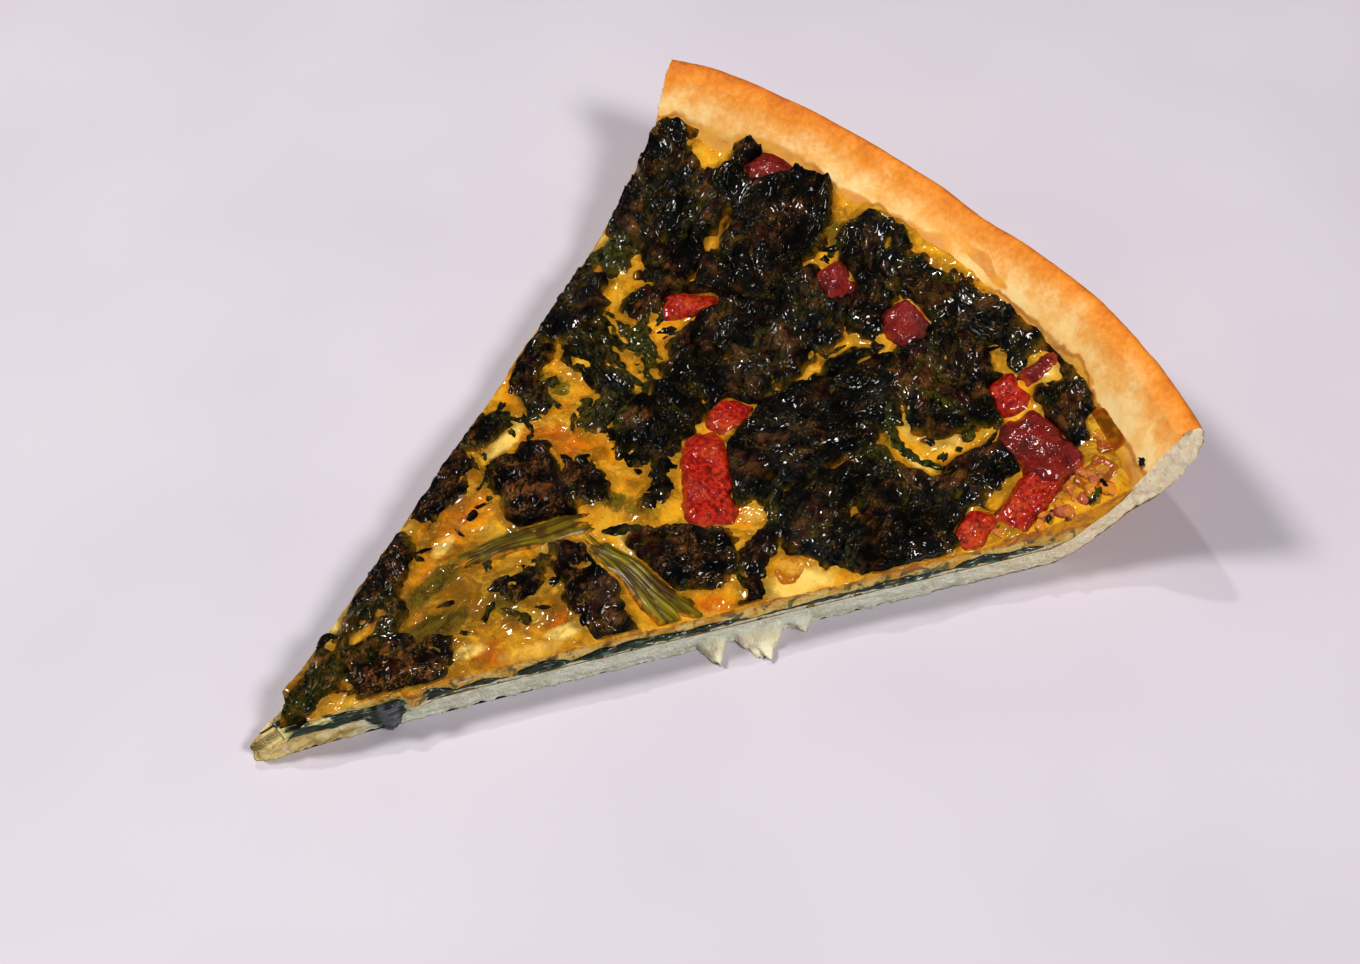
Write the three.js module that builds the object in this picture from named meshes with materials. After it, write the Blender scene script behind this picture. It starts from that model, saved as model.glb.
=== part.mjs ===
import * as THREE from 'three';

// A slice of spinach and bacon quiche, in millimetres.
// X runs from the tip of the slice out to the rim, and Z is up.
// Until the last step the origin is the middle of the whole quiche, near the tip.

const { degToRad, lerp, smoothstep } = THREE.MathUtils;

// the slice, as it was cut from a quiche of about 300 mm
const rightCut = degToRad(-24.6);
const leftCut = degToRad(25.6);
const tipReach = 3.5;          // how far the pastry tip passes the middle of the quiche
const tipFade = 9;             // length over which the blunt tip passes into the straight cuts
const tipShift = 1.5;
const tipSpread = 3;
const slicesAcross = 18;       // faces from one cut to the other
const baseStep = 7.5;          // length of a face along the base

// heights of the layers
const baseThickness = 4.2;
const leafTop = 6.2;
const fillingTop = 9;
const clearance = 0.35;        // left between pieces that touch

// the rim of the crust as (radius, height), from the base up to the lip
const rimKnots = 11;
const innerRim = rimLine([[128, 4.2], [134, 6], [139.5, 10.5], [144.2, 16], [146, 19.5], [147.2, 22.5]]);
const outerRim = rimLine([[132, 0], [138, 3.8], [144.3, 9.6], [149.5, 12.2], [153.3, 17.5], [154.6, 21.5]]);
const lipRound = 3.2;          // rise of the rounded lip above its two edges
const rimFoot = 13;            // height above which the rim is uneven
const rimHeight = 23;
const rimMiddle = 150;         // radius at the middle of the rim, for lengths along its arc
const rimSwell = { high: 2, times: 8, at: degToRad(-20) };
const rimDip = { deep: 1.4, width: degToRad(4), at: degToRad(-1) };
const rimCorner = { high: 2.4, width: degToRad(2) };
const rimWaves = { size: 11, deep: 0.7 };

// where the filling rises to meet the rim
const fillingRiseStart = 116;
const fillingRiseLength = 28;
const fillingRise = 7;
const fillingStart = 6;
const fillingEnd = 142.4;
const fillingRows = 27;
const leafStart = 3;
const leafEnd = 127.5;
const leafRows = 14;
const climbEnd = 145.5;        // the furthest that a topping climbs the rim
const cutInset = 0.3;          // toppings stop this far inside the cuts

// softness of the layers: bump size and depth, and how the filling thins at tip and cuts
const custardWaves = { size: 17, deep: 0.45 };
const leafWaves = { size: 15, deep: 0.25 };
const cutCrumbs = { size: 3.1, deep: 0.8 };
const layerCrumbs = { size: 4.3, deep: 0.35 };
const thinTip = { deep: 1.6, fade: 14 };
const thinEdge = { deep: 0.7, fade: 5 };
const wrinkleSize = 4.2;
const edgeShare = 0.3;         // a topping's thickness at its edge, as a share of its height

// thin flakes of crust that stick out of the right-hand cut: place along it, width and reach
const flakes = [
  { along: 71.5, width: 5, reach: 4.5 },
  { along: 79.5, width: 8, reach: 6.2 },
  { along: 86.5, width: 4, reach: 1.8 },
];

// soft lumps in the top of the custard: place, radius and height
const lumps = [
  { x: 33, y: -12, radius: 5, high: 0.7 },
  { x: 45, y: -14, radius: 5.6, high: 0.9 },
  { x: 84, y: -19, radius: 4.2, high: 0.7 },
  { x: 67, y: 17, radius: 6.3, high: 0.6 },
  { x: 118, y: -24, radius: 5.6, high: -0.9 },
];

// the toppings: middle, length and width, turn in degrees of the long side from X, and height
const spinach = [
  { x: 9.5, y: 2.2, long: 12.5, wide: 9, turn: 15, high: 2.6 },
  { x: 21.5, y: 4.2, long: 16, wide: 9, turn: 20, high: 2.8 },
  { x: 21, y: -4.5, long: 18, wide: 11.5, turn: -25, high: 2.4 },
  { x: 30.5, y: 13, long: 19.5, wide: 9, turn: 28, high: 3.2 },
  { x: 46, y: -5, long: 10.5, wide: 8, turn: 10, high: 1.8 },
  { x: 47, y: 21.5, long: 20.5, wide: 10.5, turn: 28, high: 2.6 },
  { x: 53, y: -13.5, long: 23, wide: 9, turn: 80, high: 2.2 },
  { x: 59.5, y: 9.5, long: 19.5, wide: 12.5, turn: 75, high: 3.4 },
  { x: 66, y: 5.5, long: 10.5, wide: 8, turn: 60, high: 2.6 },
  { x: 61.5, y: 26.5, long: 11.5, wide: 8, turn: 35, high: 2.4 },
  { x: 72.5, y: 27, long: 10.5, wide: 4.5, turn: 60, high: 1.6 },
  { x: 76.5, y: 34.5, long: 13.5, wide: 8, turn: 20, high: 2.8 },
  { x: 78, y: 16.5, long: 10.5, wide: 8, turn: 10, high: 2.2 },
  { x: 86.5, y: 23, long: 28, wide: 11, turn: 80, high: 2.6 },
  { x: 93.5, y: 20.5, long: 17, wide: 5, turn: 80, high: 1.6 },
  { x: 85.5, y: 8, long: 24.5, wide: 12, turn: 12, high: 3.2 },
  { x: 84, y: 1.8, long: 29.5, wide: 5, turn: 33, high: 2 },
  { x: 69.5, y: -18.5, long: 17, wide: 13.5, turn: -40, high: 3.6 },
  { x: 74, y: -29, long: 10.5, wide: 5.5, turn: 60, high: 2.2 },
  { x: 80, y: -24.5, long: 16, wide: 5.5, turn: 18, high: 2 },
  { x: 104, y: -11, long: 44, wide: 19.5, turn: 0, high: 3.6 },
  { x: 97.5, y: -32, long: 31.5, wide: 23, turn: -50, high: 3.4 },
  { x: 108, y: -34.5, long: 27, wide: 6, turn: -80, high: 2.4 },
  { x: 111.5, y: 11, long: 39, wide: 23, turn: 5, high: 3.8 },
  { x: 101.5, y: 32, long: 8.5, wide: 7.5, turn: 0, high: 3.2 },
  { x: 92.5, y: 40, long: 22, wide: 11, turn: 25, high: 3 },
  { x: 107.5, y: 45.5, long: 14.5, wide: 8.5, turn: 25, high: 2.2 },
  { x: 121, y: 53.5, long: 27, wide: 17, turn: 38, high: 4 },
  { x: 124.5, y: 32, long: 39, wide: 29.5, turn: 10, high: 4.4 },
  { x: 138, y: 9.5, long: 17, wide: 13.5, turn: 40, high: 3.4 },
  { x: 130, y: 1.5, long: 12, wide: 10, turn: 30, high: 3 },
  { x: 139.5, y: -12.5, long: 39, wide: 8.5, turn: 92, high: 3.2 },
  { x: 127.5, y: -20, long: 24.5, wide: 17, turn: 60, high: 3.4 },
  { x: 135.5, y: -40.5, long: 14.5, wide: 7.5, turn: 60, high: 3 },
  { x: 116, y: -38, long: 19.5, wide: 10, turn: -5, high: 3 },
];
const bacon = [
  { x: 82.5, y: -8.5, long: 22, wide: 8.5, turn: 54, high: 2.4 },
  { x: 95, y: 0.5, long: 8.5, wide: 6.5, turn: 20, high: 2.2 },
  { x: 108, y: 25.5, long: 11, wide: 6, turn: -35, high: 2.2 },
  { x: 138.5, y: 38.5, long: 10, wide: 6, turn: -30, high: 2 },
  { x: 130, y: 10.5, long: 8, wide: 6.5, turn: 70, high: 2.4 },
  { x: 131.5, y: -6, long: 9.5, wide: 7.5, turn: 80, high: 2.6 },
  { x: 131.5, y: -30.5, long: 8, wide: 6, turn: 70, high: 2.4 },
  { x: 138.5, y: -31, long: 6.5, wide: 4, turn: 0, high: 2.2 },
  { x: 127, y: -42.5, long: 16, wide: 9.5, turn: 80, high: 3 },
  { x: 118.5, y: -48, long: 13, wide: 6.5, turn: 10, high: 2.4 },
  { x: 109, y: -45.5, long: 8, wide: 6, turn: 15, high: 2 },
];
const stems = [
  { x: 51.5, y: 2.5, long: 22, wide: 3.2, turn: -18, high: 1.6 },
  { x: 60.5, y: -17, long: 24, wide: 5.2, turn: -88, high: 1.9 },
];
const onions = [
  { x: 135.5, y: -48.5, long: 9, wide: 5, turn: 70, high: 2 },
  { x: 129, y: -53, long: 7, wide: 5.5, turn: 0, high: 1.8 },
  { x: 80.5, y: -31.5, long: 6, wide: 4.5, turn: 10, high: 2.2 },
];

// the lines of the rim are smooth curves through a few measured points
function rimLine(points) {
  const curve = new THREE.SplineCurve(points.map(([radius, height]) => new THREE.Vector2(radius, height)));
  return curve.getPoints(rimKnots - 1);
}

// a fixed random number from -1 to 1 for each point of a grid
function chance(i, j, seed) {
  const wave = Math.sin(i * 127.1 + j * 311.7 + seed * 74.7) * 43758.5453;
  return 2 * (wave - Math.floor(wave)) - 1;
}

// soft unevenness from -1 to 1 over a surface, with bumps about `size` across
function uneven(x, y, size, seed) {
  const i = Math.floor(x / size);
  const j = Math.floor(y / size);
  const s = smoothstep(x / size - i, 0, 1);
  const t = smoothstep(y / size - j, 0, 1);
  const near = lerp(chance(i, j, seed), chance(i + 1, j, seed), s);
  const far = lerp(chance(i, j + 1, seed), chance(i + 1, j + 1, seed), s);
  return lerp(near, far, t);
}

// a smooth hump: 1 at its middle and nearly nothing past twice its width
function hump(distance, width) {
  return Math.exp(-((distance / width) ** 2));
}

// height of the rim round its arc, as a share of its usual height above the foot
function rimShare(angle) {
  const swell = rimSwell.high * Math.cos((angle - rimSwell.at) * rimSwell.times);
  const dip = rimDip.deep * hump(angle - rimDip.at, rimDip.width);
  const corner = rimCorner.high * hump(angle - leftCut, rimCorner.width);
  return (rimHeight + swell - dip + corner - rimFoot) / (rimHeight - rimFoot);
}

function rimLift(height, angle) {
  return height > rimFoot ? rimFoot + (height - rimFoot) * rimShare(angle) : height;
}

// height of the crust's upper face, which climbs the rim
function crustHeight(radius, angle) {
  const knot = innerRim.findIndex((point) => point.x > radius);
  if (knot === 0) return baseThickness;
  if (knot < 0) return rimLift(innerRim.at(-1).y, angle);
  const [low, high] = [innerRim[knot - 1], innerRim[knot]];
  const height = lerp(low.y, high.y, (radius - low.x) / (high.x - low.x));
  return rimLift(height, angle);
}

// a place between the two cuts: `across` is -1 at the right-hand cut and 1 at the left-hand one
function inSlice(radius, across, height) {
  const angle = angleAt(across);
  const blunt = Math.exp(-(radius + tipReach) / tipFade) * (tipShift + tipSpread * across);
  return new THREE.Vector3(radius * Math.cos(angle), radius * Math.sin(angle) + blunt, height);
}

function angleAt(across) {
  return lerp(rightCut, leftCut, (across + 1) / 2);
}

function cutNormal(across) {
  return across < 0
    ? new THREE.Vector3(Math.sin(rightCut), -Math.cos(rightCut), 0)
    : new THREE.Vector3(-Math.sin(leftCut), Math.cos(leftCut), 0);
}

// height of the custard: soft waves, lumps, a thin tip and edges, and the rise to the rim
function custardHeight(x, y) {
  const radius = Math.hypot(x, y);
  const angle = Math.atan2(y, x);
  const toCut = Math.min(angle - rightCut, leftCut - angle) * radius;
  const waves = custardWaves.deep * uneven(x, y, custardWaves.size, 3);
  const tip = thinTip.deep * Math.exp(-radius / thinTip.fade);
  const edge = thinEdge.deep * Math.exp(-Math.max(toCut, 0) / thinEdge.fade);
  const rise = fillingRise * (Math.max(radius - fillingRiseStart, 0) / fillingRiseLength) ** 1.6;
  const humps = lumps.map((lump) => {
    return lump.high * hump(Math.hypot(x - lump.x, y - lump.y), lump.radius);
  });
  return fillingTop + waves - tip - edge + rise + humps.reduce((sum, each) => sum + each, 0);
}

function leafHeight(x, y) {
  return leafTop + leafWaves.deep * uneven(x, y, leafWaves.size, 8);
}

// height of what the toppings lie on: the custard, or the rim where they climb it
function bedHeight(x, y) {
  const crust = crustHeight(Math.hypot(x, y), Math.atan2(y, x));
  return Math.max(custardHeight(x, y), crust + clearance);
}

function closedBody(points, faces) {
  const geometry = new THREE.BufferGeometry();
  geometry.setAttribute('position', new THREE.Float32BufferAttribute(points.flatMap((p) => p.toArray()), 3));
  geometry.setIndex(faces.flat());
  geometry.computeVertexNormals();
  return geometry;
}

// a closed body with six gridded sides, where place(i, j, k) gives the point of each grid corner
function block(along, across, through, place) {
  const points = [];
  const faces = [];
  const known = new Map();
  const corner = (i, j, k) => {
    const key = `${i},${j},${k}`;
    if (!known.has(key)) {
      known.set(key, points.length);
      points.push(place(i, j, k));
    }
    return known.get(key);
  };
  const quad = (a, b, c, d) => faces.push([a, b, c], [a, c, d]);
  const side = (rows, columns, at) => {
    for (let i = 0; i < rows; i++) {
      for (let j = 0; j < columns; j++) {
        quad(at(i, j), at(i + 1, j), at(i + 1, j + 1), at(i, j + 1));
      }
    }
  };
  side(along, across, (i, j) => corner(i, j, through));
  side(across, along, (j, i) => corner(i, j, 0));
  side(along, through, (i, k) => corner(i, 0, k));
  side(through, along, (k, i) => corner(i, across, k));
  side(across, through, (j, k) => corner(along, j, k));
  side(through, across, (k, j) => corner(0, j, k));
  return closedBody(points, faces);
}

// stations along the flat of the base, closer together where a flake sticks out
function baseStations() {
  const stations = [];
  const last = innerRim[0].x - baseStep / 2;
  for (let radius = -tipReach; radius < last; radius += baseStep) stations.push(radius);
  for (const { along, width } of flakes) stations.push(along - width / 2, along, along + width / 2);
  return stations.sort((a, b) => a - b);
}

// how far a flake carries the foot of the right-hand cut outwards
function flakeReach(radius, share) {
  const reaches = flakes.map(({ along, width, reach }) => {
    return reach * Math.max(0, 1 - Math.abs(radius - along) / (width / 2));
  });
  return Math.max(...reaches) * (share < 0.5 ? 1 : 0);
}

// the crust is one body: a flat base whose far end bends up into the rim, with crumbly cuts
function crust() {
  const base = baseStations();
  const depth = 3;
  const last = base.length + rimKnots - 1;
  return block(last, slicesAcross, depth, (i, j, k) => {
    const across = (2 * j) / slicesAcross - 1;
    const share = k / depth;
    const angle = angleAt(across);
    let point;
    if (i < base.length) {
      point = inSlice(base[i], across, baseThickness * share);
    } else {
      const outer = outerRim[i - base.length];
      const inner = innerRim[i - base.length];
      const waves = share < 1 ? rimWaves.deep * uneven(angle * rimMiddle, 0, rimWaves.size, 21) : 0;
      const radius = lerp(outer.x, inner.x, share) + waves;
      const lip = i === last ? lipRound * Math.sin(Math.PI * share) : 0;
      point = inSlice(radius, across, rimLift(lerp(outer.y, inner.y, share), angle) + lip);
    }
    if (Math.abs(across) === 1) {
      const radius = Math.hypot(point.x, point.y);
      const crumbs = cutCrumbs.deep * uneven(radius, point.z * 2, cutCrumbs.size, 5 + across);
      const flake = across < 0 ? flakeReach(base[i] ?? radius, share) : 0;
      point.addScaledVector(cutNormal(across), crumbs + flake);
    }
    return point;
  });
}

// a layer that runs through the slice, between two heights given over its plan
function layer(from, to, rows, under, over) {
  return block(rows, slicesAcross, 1, (i, j, k) => {
    const across = (2 * j) / slicesAcross - 1;
    const point = inSlice(lerp(from, to, i / rows), across, 0);
    point.z = k === 0 ? under(point) : over(point);
    if (Math.abs(across) === 1) {
      const crumbs = uneven(point.x, point.z * 3, layerCrumbs.size, 11 + across) - 1;
      point.addScaledVector(cutNormal(across), layerCrumbs.deep * crumbs);
    }
    return point;
  });
}

function spinachLayer() {
  const under = () => baseThickness + clearance;
  return layer(leafStart, leafEnd, leafRows, under, ({ x, y }) => leafHeight(x, y));
}

function custard() {
  const under = ({ x, y }) => {
    const crustUnder = crustHeight(Math.hypot(x, y), Math.atan2(y, x)) + 1.6 * clearance;
    return Math.max(leafHeight(x, y) + clearance, crustUnder);
  };
  return layer(fillingStart, fillingEnd, fillingRows, under, ({ x, y }) => custardHeight(x, y));
}

// the outline of a topping: its reach from the middle in each direction, a little ragged
function outline(topping, squareness, raggedness, seed) {
  const { x, y, long, wide, turn } = topping;
  const sectors = THREE.MathUtils.clamp(Math.round((long + wide) * 0.5), 10, 20);
  const reach = [];
  for (let s = 0; s < sectors; s++) {
    const around = (2 * Math.PI * s) / sectors;
    const lengthwise = Math.abs(Math.cos(around) / (long / 2)) ** squareness;
    const sideways = Math.abs(Math.sin(around) / (wide / 2)) ** squareness;
    const ragged = 1 + raggedness * chance(s, 0, seed);
    reach.push((lengthwise + sideways) ** (-1 / squareness) * ragged);
  }
  const direction = (s) => {
    const angle = degToRad(turn) + (2 * Math.PI * s) / sectors;
    return new THREE.Vector2(Math.cos(angle), Math.sin(angle));
  };
  return { ...topping, middle: new THREE.Vector2(x, y), reach, direction, seed };
}

// shortens an outline where it passes the line normal.p = limit
function trim(shape, normal, limit) {
  const room = limit - normal.dot(shape.middle);
  shape.reach = shape.reach.map((reach, s) => {
    const toward = shape.direction(s).dot(normal);
    return toward * reach > room ? Math.max(room / toward, 0.2) : reach;
  });
}

// how far an outline goes along a direction
function extent(shape, normal) {
  const steps = shape.reach.map((reach, s) => reach * shape.direction(s).dot(normal));
  return normal.dot(shape.middle) + Math.max(...steps);
}

// two toppings that meet are parted by a straight line, in the direction where they cross least;
// leaves give way to the pieces that lie on them
function part(first, second) {
  let least = Infinity;
  let best;
  for (let degrees = 0; degrees < 360; degrees += 6) {
    const normal = new THREE.Vector2(1, 0).rotateAround(new THREE.Vector2(), degToRad(degrees));
    const overlap = extent(first, normal) + extent(second, normal.clone().negate());
    if (overlap < least) {
      least = overlap;
      best = normal;
    }
  }
  if (least < -clearance) return;
  const line = extent(first, best) - (first.kind === second.kind ? least / 2 : -clearance / 2);
  trim(first, best, line - clearance / 2);
  trim(second, best.clone().negate(), -line - clearance / 2);
}

// a topping that lies on the bed: its top swells from a thin edge, with wrinkles on it
function topping(shape, rings, fullness, wrinkle) {
  const { reach, direction, middle, high, seed } = shape;
  const sectors = reach.length;
  const points = [];
  const faces = [];
  const put = (plan, swell, upper) => {
    const bed = bedHeight(plan.x, plan.y) + clearance;
    const folds = 1 + wrinkle * uneven(plan.x, plan.y, wrinkleSize, seed);
    const height = high * lerp(edgeShare, 1, swell) * folds;
    points.push(new THREE.Vector3(plan.x, plan.y, upper ? bed + height : bed));
  };
  for (const upper of [true, false]) {
    for (let ring = 1; ring <= rings; ring++) {
      const share = ring / rings;
      for (let s = 0; s < sectors; s++) {
        const plan = middle.clone().addScaledVector(direction(s), reach[s] * share);
        put(plan, (1 - share ** fullness) ** 0.5, upper);
      }
    }
    put(middle, 1, upper);
  }
  const half = rings * sectors + 1;
  const at = (ring, s, lower) => (ring - 1) * sectors + (s % sectors) + (lower ? half : 0);
  for (const lower of [false, true]) {
    const add = (a, b, c) => faces.push(lower ? [a, c, b] : [a, b, c]);
    const centre = half - 1 + (lower ? half : 0);
    for (let s = 0; s < sectors; s++) {
      add(centre, at(1, s, lower), at(1, s + 1, lower));
      for (let ring = 1; ring < rings; ring++) {
        add(at(ring, s, lower), at(ring + 1, s, lower), at(ring + 1, s + 1, lower));
        add(at(ring, s, lower), at(ring + 1, s + 1, lower), at(ring, s + 1, lower));
      }
    }
  }
  for (let s = 0; s < sectors; s++) {
    const [a, b] = [at(rings, s, false), at(rings, s + 1, false)];
    const [c, d] = [at(rings, s + 1, true), at(rings, s, true)];
    faces.push([a, d, c], [a, c, b]);
  }
  return closedBody(points, faces);
}

function finish(colour, roughness) {
  return new THREE.MeshStandardMaterial({ color: colour, roughness, metalness: 0 });
}

const pastryFinish = finish(0xe2b56c, 0.75);
const leafFinish = finish(0x2e4a30, 0.5);
const custardFinish = finish(0xd9a648, 0.4);
const spinachFinish = finish(0x1d1f16, 0.35);
const baconFinish = finish(0x9a2f1c, 0.3);
const stemFinish = finish(0x59662a, 0.4);
const onionFinish = finish(0xa8641f, 0.25);

const smallTopping = 14;       // below this length two rings of faces are enough
const kinds = [
  {
    name: 'bacon', list: bacon, look: baconFinish,
    squareness: 4, raggedness: 0.06, rings: 2, fullness: 5, wrinkle: 0.15,
  },
  {
    name: 'stem', list: stems, look: stemFinish,
    squareness: 5, raggedness: 0.03, rings: 2, fullness: 2, wrinkle: 0.1,
  },
  {
    name: 'onion', list: onions, look: onionFinish,
    squareness: 2, raggedness: 0.04, rings: 2, fullness: 3, wrinkle: 0.1,
  },
  {
    name: 'spinach', list: spinach, look: spinachFinish,
    squareness: 2.6, raggedness: 0.12, rings: 3, fullness: 3.5, wrinkle: 0.5,
  },
];

// every topping gets its outline, then each pair that meets is parted and the cuts trim the rest
function layOut() {
  const shapes = [];
  for (const kind of kinds) {
    kind.list.forEach((place, index) => {
      const shape = outline(place, kind.squareness, kind.raggedness, shapes.length + 1);
      const number = String(index + 1).padStart(2, '0');
      shapes.push({ ...shape, kind, name: `${kind.name}_${number}` });
    });
  }
  const cuts = [-1, 1].map((across) => new THREE.Vector2(cutNormal(across).x, cutNormal(across).y));
  for (const shape of shapes) {
    cuts.forEach((normal) => trim(shape, normal, -cutInset));
    trim(shape, shape.middle.clone().normalize(), climbEnd);
  }
  shapes.forEach((first, index) => {
    shapes.slice(index + 1).forEach((second) => part(first, second));
  });
  return shapes;
}

const slice = new THREE.Group();

function add(name, geometry, material) {
  const mesh = new THREE.Mesh(geometry, material);
  mesh.name = name;
  slice.add(mesh);
}

add('pastry', crust(), pastryFinish);
add('spinach_layer', spinachLayer(), leafFinish);
add('custard', custard(), custardFinish);
for (const shape of layOut()) {
  const { rings, fullness, wrinkle, look } = shape.kind;
  const ringsHere = shape.long < smallTopping ? Math.min(rings, 2) : rings;
  add(shape.name, topping(shape, ringsHere, fullness, wrinkle), look);
}

// the origin goes to the middle of the slice's box, on the surface it rests on
const box = new THREE.Box3().setFromObject(slice);
const middle = box.getCenter(new THREE.Vector3());
slice.position.set(-middle.x, -middle.y, -box.min.z);

const quiche = new THREE.Group();
quiche.add(slice);
export default quiche;
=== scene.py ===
import math

import bpy
import numpy as np
from mathutils import Matrix, Vector


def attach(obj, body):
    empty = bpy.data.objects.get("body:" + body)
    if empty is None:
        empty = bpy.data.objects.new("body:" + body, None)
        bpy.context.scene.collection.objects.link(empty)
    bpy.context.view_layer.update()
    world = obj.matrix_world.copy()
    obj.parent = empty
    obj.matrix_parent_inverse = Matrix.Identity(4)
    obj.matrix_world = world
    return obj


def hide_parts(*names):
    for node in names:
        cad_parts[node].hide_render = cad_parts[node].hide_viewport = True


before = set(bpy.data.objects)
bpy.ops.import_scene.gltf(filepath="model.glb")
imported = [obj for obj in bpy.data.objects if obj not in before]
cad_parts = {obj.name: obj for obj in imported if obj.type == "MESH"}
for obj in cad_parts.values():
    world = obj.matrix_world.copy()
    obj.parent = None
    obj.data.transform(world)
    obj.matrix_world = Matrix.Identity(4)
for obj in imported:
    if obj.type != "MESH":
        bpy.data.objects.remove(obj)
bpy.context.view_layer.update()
print("frame loaded:", len(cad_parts), "nodes")

# Shapes are worked out in millimetres from the middle of the whole quiche: X out to the rim, Z up.
# quicheMiddle is that point in the frame, whose own origin is under the middle of the slice.
quicheMiddle = np.array([-75.567, -1.107, 0.0])

# the length of the slice's arc over its radius, by which points are spaced across it
arcShare = 0.87

wedge = {
    "rightCut": math.radians(-24.6),
    "leftCut": math.radians(25.6),
    "tipReach": 3.5,       # how far the crust passes the middle of the quiche
    "tipFade": 9.0,        # the blunt tip passes into the straight cuts over this length
    "tipShift": 1.5,
    "tipSpread": 3.0,
}


def lerp(a, b, t):
    return a + (b - a) * t


# 0 below low, 1 above high, with a smooth step between
def step(value, low, high):
    t = np.clip((value - low) / (high - low), 0, 1)
    return t * t * (3 - 2 * t)


# a smooth hump: exp(-(distance / width)^2)
def hump(distance, width):
    return np.exp(-((distance / width) ** 2))


# a fixed number from 0 to 1 for every whole-number corner of space, by mixing its bits
def chance(i, j, k, seed):
    mixed = (i * 374761393 + j * 668265263 + k * 1103515245 + seed * 974634777) & 0xFFFFFFFF
    mixed = ((mixed ^ (mixed >> 13)) * 1274126177) & 0xFFFFFFFF
    return ((mixed ^ (mixed >> 16)) & 0xFFFF) / 65535.0


# gradient noise from about -1 to 1: each corner of a grid of `size` has a random slope,
# and the eight slopes round a point are blended with a smooth curve
def noise(x, y, z, size, seed):
    x, y, z = np.broadcast_arrays(np.asarray(x, float), y, z)
    px, py, pz = x / size, y / size, z / size
    i, j, k = (np.floor(p).astype(np.int64) for p in (px, py, pz))
    fx, fy, fz = px - i, py - j, pz - k
    ux, uy, uz = (f * f * f * (f * (f * 6 - 15) + 10) for f in (fx, fy, fz))
    total = np.zeros(px.shape)
    for corner in range(8):
        a, b, c = corner & 1, (corner >> 1) & 1, corner >> 2
        turn = 2 * math.pi * chance(i + a, j + b, k + c, seed)
        rise = 2 * chance(i + a, j + b, k + c, seed + 57) - 1
        flat = np.sqrt(1 - rise * rise)
        slope = flat * np.cos(turn) * (fx - a) + flat * np.sin(turn) * (fy - b) + rise * (fz - c)
        weight = (ux if a else 1 - ux) * (uy if b else 1 - uy) * (uz if c else 1 - uz)
        total = total + slope * weight
    return total * 1.7


# noise summed over octaves, each half as wide and `fall` times as strong
def layered(x, y, z, size, seed, octaves=3, fall=0.5):
    total, strength, reach = 0, 1.0, 0.0
    for octave in range(octaves):
        total = total + strength * noise(x, y, z, size / 2 ** octave, seed + octave * 11)
        reach += strength
        strength *= fall
    return total / reach


# distance to the nearest of one jittered point per grid square, in squares, and that square's chance
def cells(x, y, size, seed):
    px, py = x / size, y / size
    i, j = np.floor(px).astype(np.int64), np.floor(py).astype(np.int64)
    nearest = np.full(px.shape, 9.0)
    owner = np.zeros(px.shape)
    for di in (-1, 0, 1):
        for dj in (-1, 0, 1):
            a, b = i + di, j + dj
            cx = a + 0.15 + 0.7 * chance(a, b, 0, seed)
            cy = b + 0.15 + 0.7 * chance(a, b, 1, seed)
            away = np.hypot(px - cx, py - cy)
            closer = away < nearest
            nearest = np.where(closer, away, nearest)
            owner = np.where(closer, chance(a, b, 2, seed), owner)
    return nearest, owner


# a curve through points, evenly stepped from 0 to 1: Catmull-Rom between each pair
def curve(points, t):
    points = np.array(points, float)
    last = len(points) - 1
    at = np.clip(t, 0, 1) * last
    k = np.minimum(np.floor(at).astype(int), last - 1)
    f = (at - k)[..., None]
    before, start = points[np.maximum(k - 1, 0)], points[k]
    end, after = points[k + 1], points[np.minimum(k + 2, last)]
    slopeStart, slopeEnd = (end - before) / 2, (after - start) / 2
    return ((2 * start - 2 * end + slopeStart + slopeEnd) * f ** 3
            + (3 * end - 3 * start - 2 * slopeStart - slopeEnd) * f ** 2 + slopeStart * f + start)


# coordinates along and across a direction that is given in degrees from X
def alongAcross(x, y, turn):
    turn = math.radians(turn)
    return x * math.cos(turn) + y * math.sin(turn), y * math.cos(turn) - x * math.sin(turn)


def angleAt(across):
    return lerp(wedge["rightCut"], wedge["leftCut"], (across + 1) / 2)


# a place between the cuts: radius out from the middle, across from -1 to 1, and height
def inSlice(radius, across, height):
    radius, across, height = np.broadcast_arrays(radius, across, height)
    angle = angleAt(across)
    blunt = np.exp(-(radius + wedge["tipReach"]) / wedge["tipFade"])
    y = radius * np.sin(angle) + blunt * (wedge["tipShift"] + wedge["tipSpread"] * across)
    return np.stack([radius * np.cos(angle), y, height], -1)


# the outward direction of a cut, level: side is -1 for the right-hand cut and 1 for the left
def cutNormal(side):
    angle = wedge["rightCut"] if side < 0 else wedge["leftCut"]
    return side * np.array([-math.sin(angle), math.cos(angle), 0])


def insideCut(side, x, y):
    normal = cutNormal(side)
    return -(normal[0] * x + normal[1] * y)


# how far inside the nearer cut a place is
def insideCuts(x, y):
    return np.minimum(insideCut(-1, x, y), insideCut(1, x, y))


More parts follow.
